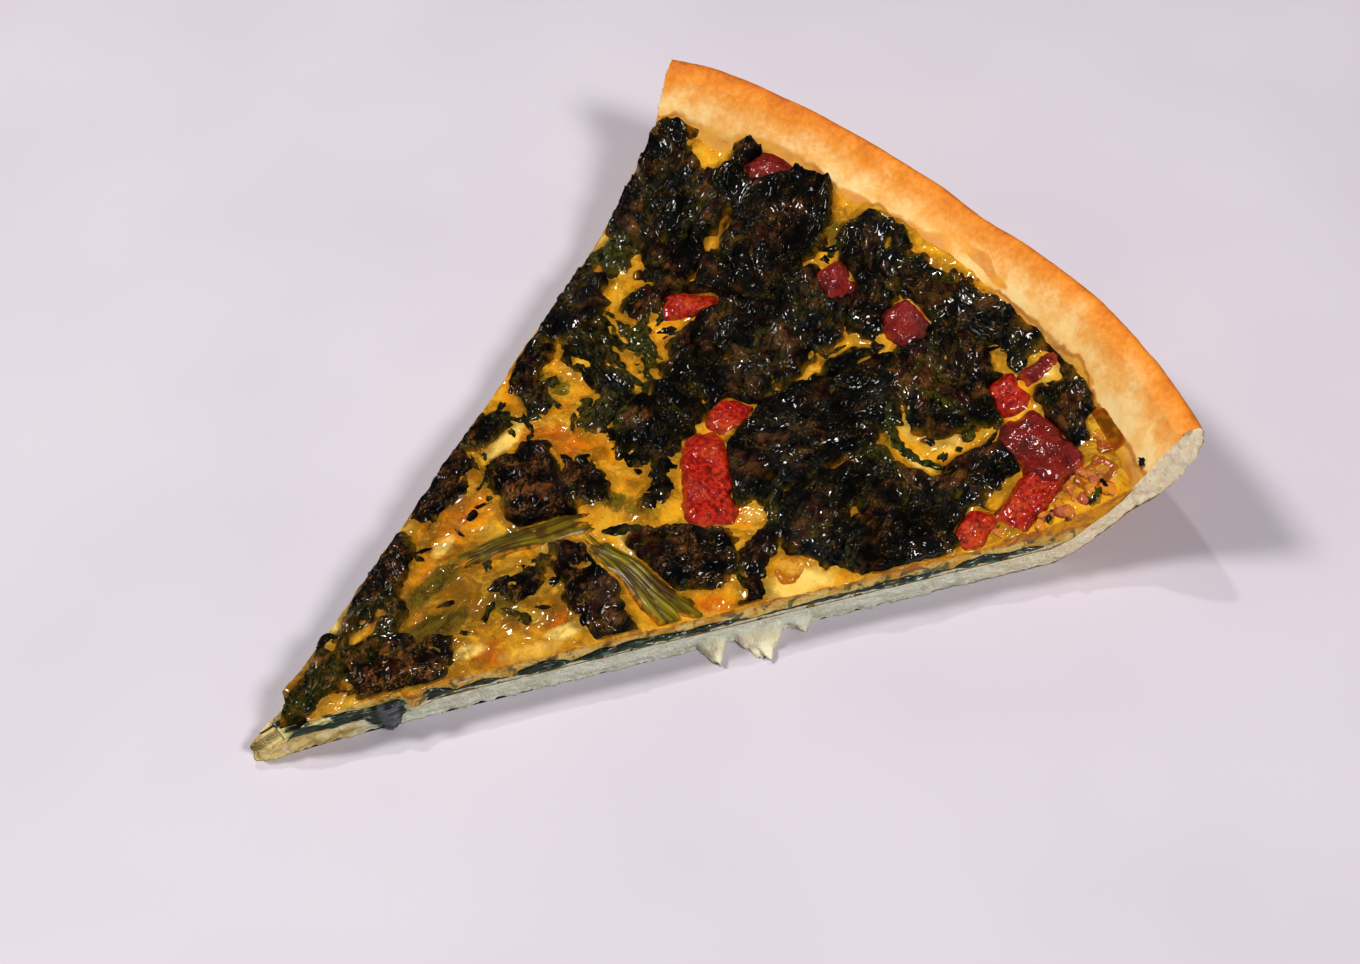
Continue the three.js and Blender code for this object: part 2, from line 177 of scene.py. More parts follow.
crustShape = {
    "thick": 4.2,
    "innerRim": [(128, 4.2), (134, 6), (139.5, 10.5), (144, 15.6), (147.3, 20), (150, 23.2)],
    "outerRim": [(132, 0), (138, 3.8), (144.3, 9.6), (149.5, 12.2), (153.3, 17.5), (154.6, 21.5)],
    "lipRound": 3.1,
    "rimFoot": 13.0,
    "rimHeight": 23.0,
    "rimSwell": (2.0, 8.0, math.radians(-20)),      # height, times round, place
    "rimDip": (1.4, math.radians(4), math.radians(-1)),
    "rimCorner": (-0.6, math.radians(2)),
    "footFade": 12,        # length over which the foot passes into the flat base
    "tipRound": (2.4, 2.2),     # how far the tip's corners are drawn in, and over what length
    "tipThin": (1.3, 4),        # how much thinner the crust is at the tip, and over what length
    "flakes": [(71.5, 5, 4.5), (79.5, 8, 6.2), (86.5, 4, 1.8)],   # place along the cut, width, reach
}

# where the flat base passes into the rim
baseEnd = crustShape["innerRim"][0][0]

fillingShape = {
    "leafTop": 6.2,
    "top": 9.0,
    "waves": (0.4, 19),    # height and size
    "thinTip": (1.6, 14),       # how much lower the custard is there, and over what length
    "thinEdges": (0.7, 5),
    "riseStart": 116.0,
    "riseLength": 28.0,
    "rise": 7.0,
    "riseCurve": 1.6,
    "end": 146.8,
    "lumps": [(33, -12, 5, 0.7), (45, -14, 5.6, 0.9), (84, -19, 4.2, 0.7), (67, 17, 6.3, 0.6),
              (118, -24, 5.6, -0.9)],
}


# the rim's height round its arc: a slow swell, one dip, and a lower corner at the left cut
def rimLift(height, angle):
    swell, times, at = crustShape["rimSwell"]
    deep, width, dipAt = crustShape["rimDip"]
    corner, cornerWidth = crustShape["rimCorner"]
    foot, full = crustShape["rimFoot"], crustShape["rimHeight"]
    stretch = (full + swell * np.cos((angle - at) * times) - deep * hump(angle - dipAt, width)
               + corner * hump(angle - wedge["leftCut"], cornerWidth) - foot) / (full - foot)
    return np.where(height > foot, foot + (height - foot) * stretch, height)


# height of the crust's upper face: the base, then the inner line of the rim
def crustHeight(x, y):
    line = curve(crustShape["innerRim"], np.linspace(0, 1, 60))
    return rimLift(np.interp(np.hypot(x, y), line[:, 0], line[:, 1]), np.arctan2(y, x))


# height of the custard: slow waves, lumps, a thin tip and edges, and a rise to the rim
def custardHeight(x, y):
    shape = fillingShape
    radius = np.hypot(x, y)
    tip, tipLength = shape["thinTip"]
    edge, edgeLength = shape["thinEdges"]
    height = shape["top"] + shape["waves"][0] * noise(x, y, 0, shape["waves"][1], 3)
    height = height - tip * np.exp(-radius / tipLength)
    height = height - edge * np.exp(-np.maximum(insideCuts(x, y), 0) / edgeLength)
    beyond = np.maximum(radius - shape["riseStart"], 0) / shape["riseLength"]
    height = height + shape["rise"] * beyond ** shape["riseCurve"]
    for lumpX, lumpY, width, high in shape["lumps"]:
        height = height + high * hump(np.hypot(x - lumpX, y - lumpY), width)
    return height


def bedHeight(x, y):
    return np.maximum(custardHeight(x, y), crustHeight(x, y))


# Toppings, as (x, y, length, width, turn of the long side in degrees, height), in millimetres.
# Leaves add: how green they are, the lie of their folds in degrees, and how drawn out the folds are.
spinachHeaps = [
    (9.5, 2.2, 12.5, 9, 15, 2.6, 0.75, 10, 1.6),
    (21.5, 4.2, 16, 9, 20, 2.8, 0.5, 20, 1.4),
    (21, -4.5, 18, 11.5, -25, 2.4, 0.2, -20, 1.5),
    (30, 12.8, 16.5, 9, 28, 3.2, 0.05, 60, 1.3),
    (46, -5, 10.5, 8, 10, 1.8, 0.3, 20, 1.2),
    (48, 22, 17.5, 10.5, 28, 2.6, 0.1, 30, 1.2),
    (53, -13.5, 23, 9, 80, 2.2, 0.1, 40, 1.2),
    (59.5, 9.5, 19.5, 12.5, 75, 3.4, 0.05, 60, 1.1),
    (66, 5.5, 10.5, 8, 60, 2.6, 0.05, 30, 1.1),
    (61.5, 26.5, 11.5, 8, 35, 2.4, 0.3, 30, 1.2),
    (72.5, 27, 10.5, 4.5, 60, 1.6, 0.3, 60, 2.0),
    (76.5, 34.5, 13.5, 8, 20, 2.8, 0.1, 20, 1.3),
    (78, 16.5, 10.5, 8, 10, 2.2, 0.5, 10, 1.3),
    (86.5, 23, 28, 11, 80, 2.6, 0.35, 78, 2.6),
    (93.5, 20.5, 17, 5, 80, 1.6, 0.8, 80, 2.4),
    (85.5, 8, 24.5, 12, 12, 3.2, 0.05, 35, 1.3),
    (84, 1.8, 29.5, 5, 33, 2.0, 0.05, 33, 2.4),
    (69.5, -18.5, 17, 13.5, -40, 3.6, 0.05, -30, 1.3),
    (74, -29, 10.5, 5.5, 60, 2.2, 0.1, 60, 1.4),
    (80, -24.5, 16, 5.5, 18, 2.0, 0.1, 20, 1.5),
    (104, -11, 44, 19.5, 0, 3.6, 0.08, -20, 1.5),
    (97.5, -32, 31.5, 23, -50, 3.4, 0.1, 10, 1.5),
    (108, -34.5, 27, 6, -80, 2.4, 0.4, -75, 2.6),
    (111.5, 11, 39, 23, 5, 3.8, 0.12, 40, 1.3),
    (101.5, 32, 8.5, 7.5, 0, 3.2, 0.1, 0, 1.1),
    (92.5, 40, 22, 11, 25, 3.0, 0.1, 30, 1.4),
    (107.5, 45.5, 14.5, 8.5, 25, 2.2, 0.8, 30, 1.4),
    (121, 53.5, 27, 17, 38, 4.0, 0.15, 60, 1.4),
    (124.5, 32, 39, 29.5, 10, 4.4, 0.05, 20, 1.9),
    (138, 9.5, 17, 13.5, 40, 3.4, 0.15, 40, 1.3),
    (130, 1.5, 12, 10, 30, 3.0, 0.05, 30, 1.2),
    (139.5, -12.5, 39, 8.5, 92, 3.2, 0.05, 95, 2.2),
    (127.5, -20, 24.5, 17, 60, 3.4, 0.08, 60, 1.3),
    (135.5, -40.5, 14.5, 7.5, 60, 3.0, 0.05, 60, 1.4),
    (116, -38, 19.5, 10, -5, 3.0, 0.05, 0, 1.5),
]

# heaps that are broken up by more custard than the others
looseHeaps = {spinachHeaps[number] for number in (11, 12, 13, 14, 15, 25)}

baconPieces = [
    (82.5, -8.5, 22, 8.5, 54, 2.4),
    (95, 0.5, 8.5, 6.5, 20, 2.2),
    (108, 25.5, 11, 6, -35, 2.2),
    (138.5, 38.5, 10, 6, -30, 2.0),
    (130, 10.5, 8, 6.5, 70, 2.4),
    (131.5, -6, 9.5, 7.5, 80, 2.6),
    (131.5, -30.5, 8, 6, 70, 2.4),
    (138.5, -31, 6.5, 4, 0, 2.2),
    (127, -42.5, 16, 9.5, 80, 3.0),
    (118.5, -48, 13, 6.5, 10, 2.4),
    (109, -45.5, 8, 6, 15, 2.0),
]

stemPieces = [
    (51.5, 2.2, 23, 5.0, -18, 1.2),
    (60.5, -17, 25, 6.4, -88, 1.3),
]

onionPieces = [
    (135.5, -48.5, 9, 5, 70, 2.0),
    (129, -53, 7, 5.5, 0, 1.8),
    (80.5, -31.5, 6, 4.5, 10, 2.2),
]


# a topping's own coordinates: along its long side and across it
def onTopping(spot, x, y):
    return alongAcross(x - spot[0], y - spot[1], spot[4])


# 1 on the outline of a topping, less inside: a rounded box with the given squareness
def share(spot, x, y, squareness):
    along, across = onTopping(spot, x, y)
    return ((np.abs(along) / (spot[2] / 2)) ** squareness
            + (np.abs(across) / (spot[3] / 2)) ** squareness) ** (1 / squareness)


# the highest value over many pieces, each worked out by valueAt only for the places near it
def highest(pieces, x, y, margin, start, valueAt):
    total = start + np.zeros(np.shape(x))
    for number, spot in enumerate(pieces):
        reach = spot[2] / 2 + margin
        near = (np.abs(x - spot[0]) < reach) & (np.abs(y - spot[1]) < reach)
        if near.any():
            total[near] = np.maximum(total[near], valueAt(number, x[near], y[near]))
    return total


# 1 under a piece that lies on the leaves, falling to 0 a little outside its outline
def coveredBy(pieces, x, y, squareness, inner=0.84, outer=1.0):
    def coverAt(number, px, py):
        return 1 - step(share(pieces[number], px, py, squareness), inner, outer)

    return highest(pieces, x, y, 6, 0, coverAt)


# Mesh making


# points that fall on each other become one, and the faces follow
def weld(points, faces):
    _, first, remap = np.unique(np.round(points * 5000).astype(np.int64), axis=0,
                                return_index=True, return_inverse=True)
    return points[first], [remap.ravel()[face] for face in faces]


# twice the area and the direction of each face, summed at its corners and made unit length
def normalsOf(points, faces):
    normals = np.zeros_like(points)
    for face in faces:
        cross = np.cross(points[face[:, 2]] - points[face[:, 0]], points[face[:, -1]] - points[face[:, 1]])
        if face.shape[1] == 3:
            cross = np.cross(points[face[:, 1]] - points[face[:, 0]], points[face[:, 2]] - points[face[:, 0]])
        for corner in range(face.shape[1]):
            for axis in range(3):
                normals[:, axis] += np.bincount(face[:, corner], cross[:, axis], len(points))
    return normals / np.maximum(np.linalg.norm(normals, axis=1, keepdims=True), 1e-9)


# one mesh object at the origin from points in millimetres, with numbers stored at its points
def makePiece(name, points, faces, material, nodes, values):
    mesh = bpy.data.meshes.new(name)
    metres = (points + quicheMiddle) / 1000
    corners = np.concatenate([face.ravel() for face in faces])
    totals = np.concatenate([np.full(len(face), face.shape[1]) for face in faces])
    mesh.vertices.add(len(points))
    mesh.vertices.foreach_set("co", metres.astype(np.float32).ravel())
    mesh.loops.add(len(corners))
    mesh.loops.foreach_set("vertex_index", corners.astype(np.int32))
    mesh.polygons.add(len(totals))
    mesh.polygons.foreach_set("loop_start", (np.cumsum(totals) - totals).astype(np.int32))
    mesh.update(calc_edges=True)
    mesh.validate()
    mesh.shade_smooth()
    for key, value in values.items():
        layer = mesh.attributes.new(key, "FLOAT", "POINT")
        layer.data.foreach_set("value", np.broadcast_to(value, len(points)).astype(np.float32))
    mesh.materials.append(material)
    piece = bpy.data.objects.new(name, mesh)
    bpy.context.scene.collection.objects.link(piece)
    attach(piece, "root")
    if nodes:
        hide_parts(*nodes)
    return piece


# a gridded side: numbers of its points, and its quads
def gridFaces(rows, columns, start, flip=False):
    index = start + np.arange(rows * columns).reshape(rows, columns)
    quads = np.stack([index[:-1, :-1], index[1:, :-1], index[1:, 1:], index[:-1, 1:]], -1).reshape(-1, 4)
    return quads[:, ::-1] if flip else quads


# quads between rings of points, and the fans that close the first and the last ring round one point each
def ringFaces(rings, sectors, start=0):
    index = start + np.arange(rings * sectors).reshape(rings, sectors)
    following = np.roll(index, -1, 1)
    quads = np.stack([index[:-1], index[1:], following[1:], following[:-1]], -1).reshape(-1, 4)
    middle = np.full(sectors, start + rings * sectors)
    first = np.stack([index[0], following[0], middle], -1)
    last = np.stack([following[-1], index[-1], middle + 1], -1)
    return quads, np.concatenate([first, last])


# A bent block given by place(along, across, inward), each a list of steps. Its cut sides and its ends are
# gridded. Its lower face is gridded from the step `gridBelow` on, and its upper face from `gridAbove` on.
# Before that only their borders are, and the hidden rest is a fan from its middle.
def slab(along, across, inward, place, gridBelow, gridAbove):
    points, quads, fans = [], [], []
    count = 0

    def addGrid(grid, flip=False):
        nonlocal count
        points.append(grid.reshape(-1, 3))
        quads.append(gridFaces(grid.shape[0], grid.shape[1], count, flip))
        count += grid.shape[0] * grid.shape[1]

    def addFan(grid, flip=False):
        nonlocal count
        loop = np.concatenate([grid[:-1, 0], grid[-1, :-1], grid[:0:-1, -1], grid[0, :0:-1]])
        points.extend([loop, loop.mean(0, keepdims=True)])
        ring = count + np.arange(len(loop))
        tris = np.stack([ring, np.roll(ring, -1), np.full(len(loop), count + len(loop))], -1)
        fans.append(tris[:, ::-1] if flip else tris)
        count += len(loop) + 1

    u, v, w = (np.asarray(steps, float) for steps in (along, across, inward))
    addGrid(place(u[:, None], v[0], w[None, :]))
    addGrid(place(u[:, None], v[-1], w[None, :]), True)
    addGrid(place(u[0], v[:, None], w[None, :]), True)
    addGrid(place(u[-1], v[:, None], w[None, :]))
    for level, start, flip in ((w[0], gridBelow, True), (w[-1], gridAbove, False)):
        if start < len(u) - 1:
            addGrid(place(u[start:, None], v[None, :], level), flip)
        if start > 0:
            hidden = place(u[:start + 1, None], v[None, :], level)
            addGrid(hidden[:, :2], flip)
            addGrid(hidden[:, -2:], flip)
            addFan(hidden[:, 1:-1], flip)
    return weld(np.concatenate(points), [np.concatenate(quads), np.concatenate(fans)])


# Shader maths


class Sock:
    def __init__(self, graph, socket):
        self.graph = graph
        self.socket = socket

    def math(self, operation, *values):
        return self.graph.add("ShaderNodeMath", {"operation": operation}, dict(enumerate(values)))

    def __add__(self, other):
        return self.math("ADD", self, other)

    __radd__ = __add__

    def __sub__(self, other):
        return self.math("SUBTRACT", self, other)

    def __rsub__(self, other):
        return self.math("SUBTRACT", other, self)

    def __mul__(self, other):
        return self.math("MULTIPLY", self, other)

    __rmul__ = __mul__

    def step(self, low, high):
        values = {"Value": self, "From Min": low, "From Max": high}
        return self.graph.add("ShaderNodeMapRange", {"interpolation_type": "SMOOTHSTEP"}, values)


# a colour as seen on a screen, from 0 to 255, as the linear colour that shaders mix
def rgb(red, green, blue):
    parts = [value / 255 for value in (red, green, blue)]
    return tuple(p / 12.92 if p <= 0.04045 else ((p + 0.055) / 1.055) ** 2.4 for p in parts) + (1.0,)


class Graph:
    def __init__(self, name, constants):
        self.material = bpy.data.materials.new(name)
        self.material.use_nodes = True
        self.tree = self.material.node_tree
        self.shader = next(node for node in self.tree.nodes if node.type == "BSDF_PRINCIPLED")
        for socket, value in constants.items():
            self.shader.inputs[socket].default_value = value
        self.spot = self.add("ShaderNodeTexCoord", {}, {}, "Object")

    # one node: its settings first, then the values or links of its sockets
    def add(self, kind, settings, values, out=0):
        node = self.tree.nodes.new(kind)
        for key, value in settings.items():
            setattr(node, key, value)
        for key, value in values.items():
            if isinstance(value, Sock):
                self.tree.links.new(value.socket, node.inputs[key])
            else:
                node.inputs[key].default_value = value
        return Sock(self, node.outputs[out])

    # numbers that are stored at the points of the piece
    def stored(self, *names):
        return [self.add("ShaderNodeAttribute", {"attribute_name": name}, {}, "Fac") for name in names]

    # soft noise from 0 to 1 whose bumps are about `size` millimetres
    def noise(self, size, detail=3.0, rough=0.5, at=None, distort=0.0):
        return self.add("ShaderNodeTexNoise", {}, {"Vector": at or self.spot, "Scale": 1000 / size,
                        "Detail": detail, "Roughness": rough, "Distortion": distort}, "Fac")

    # coordinates turned about Z, then drawn out by a scale for each axis
    def stretched(self, scale, turn=0.0):
        values = {"Vector": self.spot, "Scale": scale, "Rotation": (0, 0, math.radians(turn))}
        return self.add("ShaderNodeMapping", {"vector_type": "TEXTURE"}, values)

    # between two colours, each mixed before or given as red, green and blue from 0 to 255
    def mix(self, factor, first, second):
        first, second = (tone if isinstance(tone, Sock) else rgb(*tone) for tone in (first, second))
        return self.add("ShaderNodeMix", {"data_type": "RGBA"}, {0: factor, 6: first, 7: second}, 2)

    # colours laid over a first one in turn, each as (how much, colour)
    def over(self, colour, *coats):
        for factor, tone in coats:
            colour = self.mix(factor, colour, tone)
        return colour

    def bump(self, height, distance, strength=1.0):
        values = {"Height": height, "Distance": distance / 1000, "Strength": strength}
        return self.add("ShaderNodeBump", {}, values)

    def finish(self, **links):
        for name, value in links.items():
            self.tree.links.new(value.socket, self.shader.inputs[name.replace("_", " ")])
        return self.material


# Crust

crustLook = {
    "cream": (248, 218, 158),
    "creamDeep": (244, 196, 118),
    "gold": (230, 152, 54),
    "brown": (176, 92, 26),
    "crumb": (224, 224, 206),
    "crumbDark": (194, 188, 158),
    "tip": (182, 150, 76),
    "under": (190, 138, 72),
    "stain": (206, 126, 12),
}

# millimetres between points along the base, up the rim, round the arc and beside a cut, the radius at
# which the arc counts, and levels of points
crustGrid = {"along": 0.42, "rim": 0.5, "arc": 0.55, "nearCut": 0.35, "arcRadius": 150, "levels": 18}

# length of the rim's outer line
rimLine = curve(crustShape["outerRim"], np.linspace(0, 1, 60))
rimLength = float(np.hypot(*np.diff(rimLine, axis=0).T).sum())


# steps from -1 to 1 that are finer beside both cuts than in the middle
def acrossSteps(fine, coarse, length, band=5.0):
    edge = np.arange(0, band, fine) / (length / 2)
    middle = np.linspace(band, length - band, int((length - 2 * band) / coarse)) / (length / 2)
    return np.concatenate([edge, middle, 2 - edge[::-1]]) - 1


# The crust's outline carried round: place on the base, or between the rim's outer and inner lines.
# At the end the wall closes over in the lip, round outside and running on from the inner wall's slope.
# The tip is rounded off in plan and thins out.
def crustPlace(along, across, inward):
    along, across, inward = np.broadcast_arrays(along, across, inward)
    angle = angleAt(across)
    rimAt = (along - baseEnd) / rimLength
    outer = curve(crustShape["outerRim"], rimAt)
    inner = curve(crustShape["innerRim"], rimAt)
    atLip = np.abs(rimAt - 1) < 1e-6
    between = np.where(atLip, 1 - np.cos(math.pi / 2 * inward), inward)
    waves = 0.45 * noise(angle * 150, 0, 0, 13, 21) * (1 - between)
    radius = lerp(outer[..., 0], inner[..., 0], between) + waves
    height = rimLift(lerp(outer[..., 1], inner[..., 1], between), angle)
    height = height + np.where(atLip, crustShape["lipRound"] * np.sin(math.pi * inward), 0)
    onBase = along < baseEnd
    foot = crustShape["outerRim"][0][0] - baseEnd
    pastTip = along + wedge["tipReach"]
    drawn, roundLength = crustShape["tipRound"]
    thin, thinLength = crustShape["tipThin"]
    baseRadius = along + foot * step(along, baseEnd - crustShape["footFade"], baseEnd) * (1 - inward)
    baseRadius = baseRadius + drawn * np.abs(across) ** 3 * np.exp(-pastTip / roundLength)
    thick = crustShape["thick"] - thin * np.exp(-pastTip / thinLength)
    radius = np.where(onBase, baseRadius, radius)
    height = np.where(onBase, thick * inward, height)
    return inSlice(radius, across, height)


# thin crumbly flakes at the foot of the right-hand cut, each a ragged round tongue
def flakeReach(radius, height):
    reach = np.zeros(np.shape(radius))
    for at, width, out in crustShape["flakes"]:
        peak = np.clip(1 - np.abs(radius - at) / (width / 2), 0, 1) ** 0.75
        frayed = 0.85 + 0.7 * layered(radius, height, at, 1.7, 31, 3, 0.8)
        reach = np.maximum(reach, out * peak * frayed)
    return reach * (1 - step(height, 1.0 + 0.7 * noise(radius, 0, 0, 1.4, 33), 2.6))


# 1 on the rim's outside, 0 on its inside
def outsideRim(radius, z):
    return step(radius - (baseEnd + 1.05 * z), 3.5, 8)


# the browning of the crust: strong on the outer half of the lip and outside, faint down the inner face
def crustBrown(points, radius, angle):
    height = points[:, 2] / rimLift(np.full(len(points), crustShape["rimHeight"]), angle)
    patches = 0.5 + 0.5 * layered(points[:, 0], points[:, 1], points[:, 2], 14, 41, 3)
    overLip = (radius - 143.8 - 4.8 * patches) / 8.0 + 0.12 * step(angle, 0.02, 0.35)
    lip = np.clip(overLip, 0, 1) * step(height, 0.5, 0.85)
    outside = outsideRim(radius, points[:, 2])
    return np.clip(np.maximum(lip * (0.75 + 0.5 * patches), outside * (0.35 + 0.6 * patches)), 0, 1)


# amber stains that the filling left on the rim: (angle, height, half width in degrees, half height)
rimStains = [(6.5, 16.5, 4.5, 2.2), (-3.5, 19.0, 3.4, 0.9), (-8, 17.0, 3, 0.9), (-15.5, 18.5, 1.8, 1.5),
             (20.5, 13.5, 2.2, 2.0), (24.6, 15, 0.9, 3), (1.5, 16.5, 3.0, 2.6), (-22, 16, 2.5, 1.2)]


# relief of a cut: crumb in layers with pits, frayed at the foot, and broken at the rim
def crumbRelief(radius, z, side):
    crumb = 0.42 * layered(radius, z * 1.6, 0, 2.0, 51 + side, 4, 0.75)
    pits = np.maximum(0, layered(radius, z * 1.4, 5, 1.3, 61 + side, 2) - 0.3)
    frayed = layered(radius, z, 3, 3.4, 71 + side, 3, 0.7)
    foot = (1 - step(z, 0.2, 1.8)) * (0.9 * frayed - 0.1) * (radius < 138) * (radius > 4)
    broken = 0.9 * layered(radius, z, 9, 4.5, 76 + side, 4, 0.7) + 0.3 * noise(radius, z, 9, 1.2, 79) - 0.2
    return crumb - pits + foot + step(radius, 134, 140) * broken


def makeCrust():
    arc = crustGrid["arcRadius"] * (wedge["leftCut"] - wedge["rightCut"])
    tipReach = wedge["tipReach"]
    base = np.linspace(-tipReach, baseEnd, int((baseEnd + tipReach) / crustGrid["along"]))
    rim = baseEnd + np.linspace(0, 1, int(rimLength / crustGrid["rim"]))[1:] * rimLength
    across = acrossSteps(crustGrid["nearCut"], crustGrid["arc"], arc)
    levels = np.linspace(0, 1, crustGrid["levels"])
    last = len(base) - 1
    points, faces = slab(np.concatenate([base, rim]), across, levels, crustPlace, last, last)
    x, y, z = points.T
    radius, angle = np.hypot(x, y), np.arctan2(y, x)
    normals = normalsOf(points, faces)
    flaked = flakeReach(radius, z)
    onCut = np.zeros(len(points))
    for side in (-1, 1):
        facing = step(normals @ cutNormal(side), 0.55, 0.8) * (normals[:, 2] < 0.9)
        facing = facing * (insideCut(side, x, y) < 1.5)
        onCut = np.maximum(onCut, facing)
        out = crumbRelief(radius, z, side) + flaked * (side < 0)
        points = points + (facing * out)[:, None] * cutNormal(side)
    flaked = flaked * (y < 0)
    points[:, 2] += flaked * step(z, 0.4, 1.2) * 0.14 * layered(x, y - flaked, z, 1.5, 77, 2, 0.7)
    tipFacing = step(-normals[:, 0], 0.5, 0.85) * (radius < 8)
    points[:, 0] += tipFacing * (0.4 * layered(y, z * 2, 0, 2.2, 81, 3) + 0.45)
    onCut = np.maximum(onCut, np.maximum(tipFacing, 1 - step(radius, 4, 6)))
    onRim = step(radius, 133, 139) * (1 - onCut)
    grain = 0.35 * layered(x, y, z, 9, 91, 3, 0.45) + 0.1 * noise(x, y, z, 1.7, 95)
    outside = outsideRim(radius, z)
    points = points + normals * (onRim * (grain * (0.5 + 0.5 * outside) - 0.2 * outside))[:, None]
    stain = np.zeros(len(points))
    wander = 1.1 * noise(x, y, z, 7, 97)
    for at, height, wide, high in rimStains:
        away = np.hypot((np.degrees(angle) - at + 0.6 * wander) / wide, (z + wander - height) / high)
        stain = np.maximum(stain, 1 - step(away, 0.65, 1.05))
    shore = 145.2 + 1.5 * step(heapDepth(spinachHeaps, x, y), -2.5, 0.5) + 0.7 * wander
    values = {
        "brown": crustBrown(points, radius, angle),
        "cut": onCut,
        "stain": stain * (1 - outsideRim(radius, points[:, 2])),
        "wet": np.where(radius < 139, -9, shore - radius),
        "rim": step(radius, 104, 142),
        "tip": np.exp(-np.maximum(radius, 0) / 14),
        "flake": flaked,
    }
    makePiece("crust", points, faces, crustMaterial(), ["pastry"], values)
    print("crust:", len(points), "points")


def crustMaterial():
    look = crustLook
    g = Graph("bakedCrust", {"Subsurface Weight": 0.1, "Subsurface Scale": 0.002, "Specular IOR Level": 0.25})
    brown, cut, stain, wet, tip, rim, flake = g.stored("brown", "cut", "stain", "wet", "tip", "rim", "flake")
    mottled = g.noise(6, 5, 0.6)
    freckles = g.noise(1.1, 3, 0.65)
    crumbs = g.noise(1.0, 5, 0.7)
    layersSeen = g.noise(5.0, 5, 0.65, g.stretched((1, 1, 0.45)))
    baked = brown + (mottled - 0.5) * 0.7 + (freckles - 0.5) * 0.5
    skin = g.over(
        look["cream"],
        (mottled.step(0.35, 0.7), look["creamDeep"]),
        (baked.step(0.0, 0.75), look["gold"]),
        (baked.step(0.55, 1.25), look["brown"]),
        (baked.step(0.9, 1.3) * freckles.step(0.55, 0.7) * 0.7, (140, 66, 14)),
    )
    yellowed = g.mix(layersSeen.step(0.4, 0.62), (238, 214, 146), look["tip"])
    # crumb of the cuts: greyer along the base, which is partly painted shade, and warm cream toward the rim
    crumb = g.over(
        look["crumb"],
        (layersSeen.step(0.4, 0.7) * 0.7, look["crumbDark"]),
        ((tip + (layersSeen - 0.5) * 0.8).step(0.15, 0.6) * 0.9, yellowed),
        (rim * 0.85, g.mix(layersSeen, (250, 236, 206), (240, 218, 176))),
        (crumbs.step(0.55, 0.68) * 0.8, (246, 242, 224)),
        # painted shade: darker specks where the crumb's bump is lowest, in its pits
        (crumbs.step(0.38, 0.28) * 0.6, (158, 134, 92)),
        (flake.step(0.2, 1.6) * 0.8, (250, 238, 206)),
    )
    downward = g.add("ShaderNodeSeparateXYZ", {}, {0: g.add("ShaderNodeNewGeometry", {}, {}, "Normal")}, 2)
    shore = wet + (mottled - 0.5) * 1.6
    film = shore.step(-0.5, 0.4) * (1 - cut)
    tide = (shore.step(-0.3, 0.1) * (1 - cut) - shore.step(0.2, 0.8)) * g.noise(11, 2, 0.5).step(0.4, 0.6)
    colour = g.over(
        skin,
        (cut, crumb),
        (downward.step(-0.85, -0.98), g.mix(mottled.step(0.4, 0.6), look["under"], look["gold"])),
        ((stain + (mottled - 0.5) * 1.2).step(0.25, 1.0) * 0.75,
         g.mix(mottled.step(0.35, 0.7), look["stain"], (234, 172, 46))),
        (film * 0.75, g.mix(mottled.step(0.35, 0.65), (200, 128, 16), (226, 172, 70))),
        (tide.step(0.1, 1.0) * 0.5, (160, 88, 10)),
    )
    relief = g.bump(mottled * 0.4 + freckles * 0.35 + crumbs * cut * 2.2, 0.5, 0.6)
    return g.finish(Base_Color=colour, Roughness=0.75 - (stain + film) * 0.3 - brown * 0.15, Normal=relief)


# Leaves that run through the slice, seen at both cuts

# leaves seen at the right-hand cut, as (distance from the middle, half length, thickness)
leafClumps = [(9, 10, 2.8), (21, 8, 2.6), (33, 3.5, 1.0), (43.5, 4.5, 1.7), (58, 9, 1.7), (70, 8, 1.1),
              (92, 5, 0.8), (104, 9, 1.1), (118, 5, 1.6), (125.5, 3.5, 0.9)]


# how thick the leaves are there: half ellipses over a thin wavy line, shifted on the left-hand cut
def leafThickness(radius, side):
    shifted = radius - 5 * (side + 1)
    thick = 0.3 + 0.5 * noise(shifted, 0, side * 9, 5, 101)
    for at, half, high in leafClumps:
        thick = np.maximum(thick, high * np.sqrt(np.clip(1 - ((shifted - at) / half) ** 2, 0, 1)))
    return np.maximum(thick * (1 + 0.25 * noise(shifted, 3, side * 9, 3, 102)), 0.15)


# a drop of custard that ran down the right-hand cut, and beside it a leaf that hangs over the cut:
# place along the cut, half width and how far down they go, in millimetres
dripShape = {"at": 22.4, "width": 1.6, "drop": 3.4}
hangShape = {"at": 18.3, "width": 1.9, "drop": 3.9}

# the layer's reach from the middle, and the millimetres between its points at the cuts and inside
layerShape = {"start": 1.5, "end": 129.0, "grid": 0.33, "inside": 8, "band": 2.6, "levels": 15, "tipTop": 3.4}


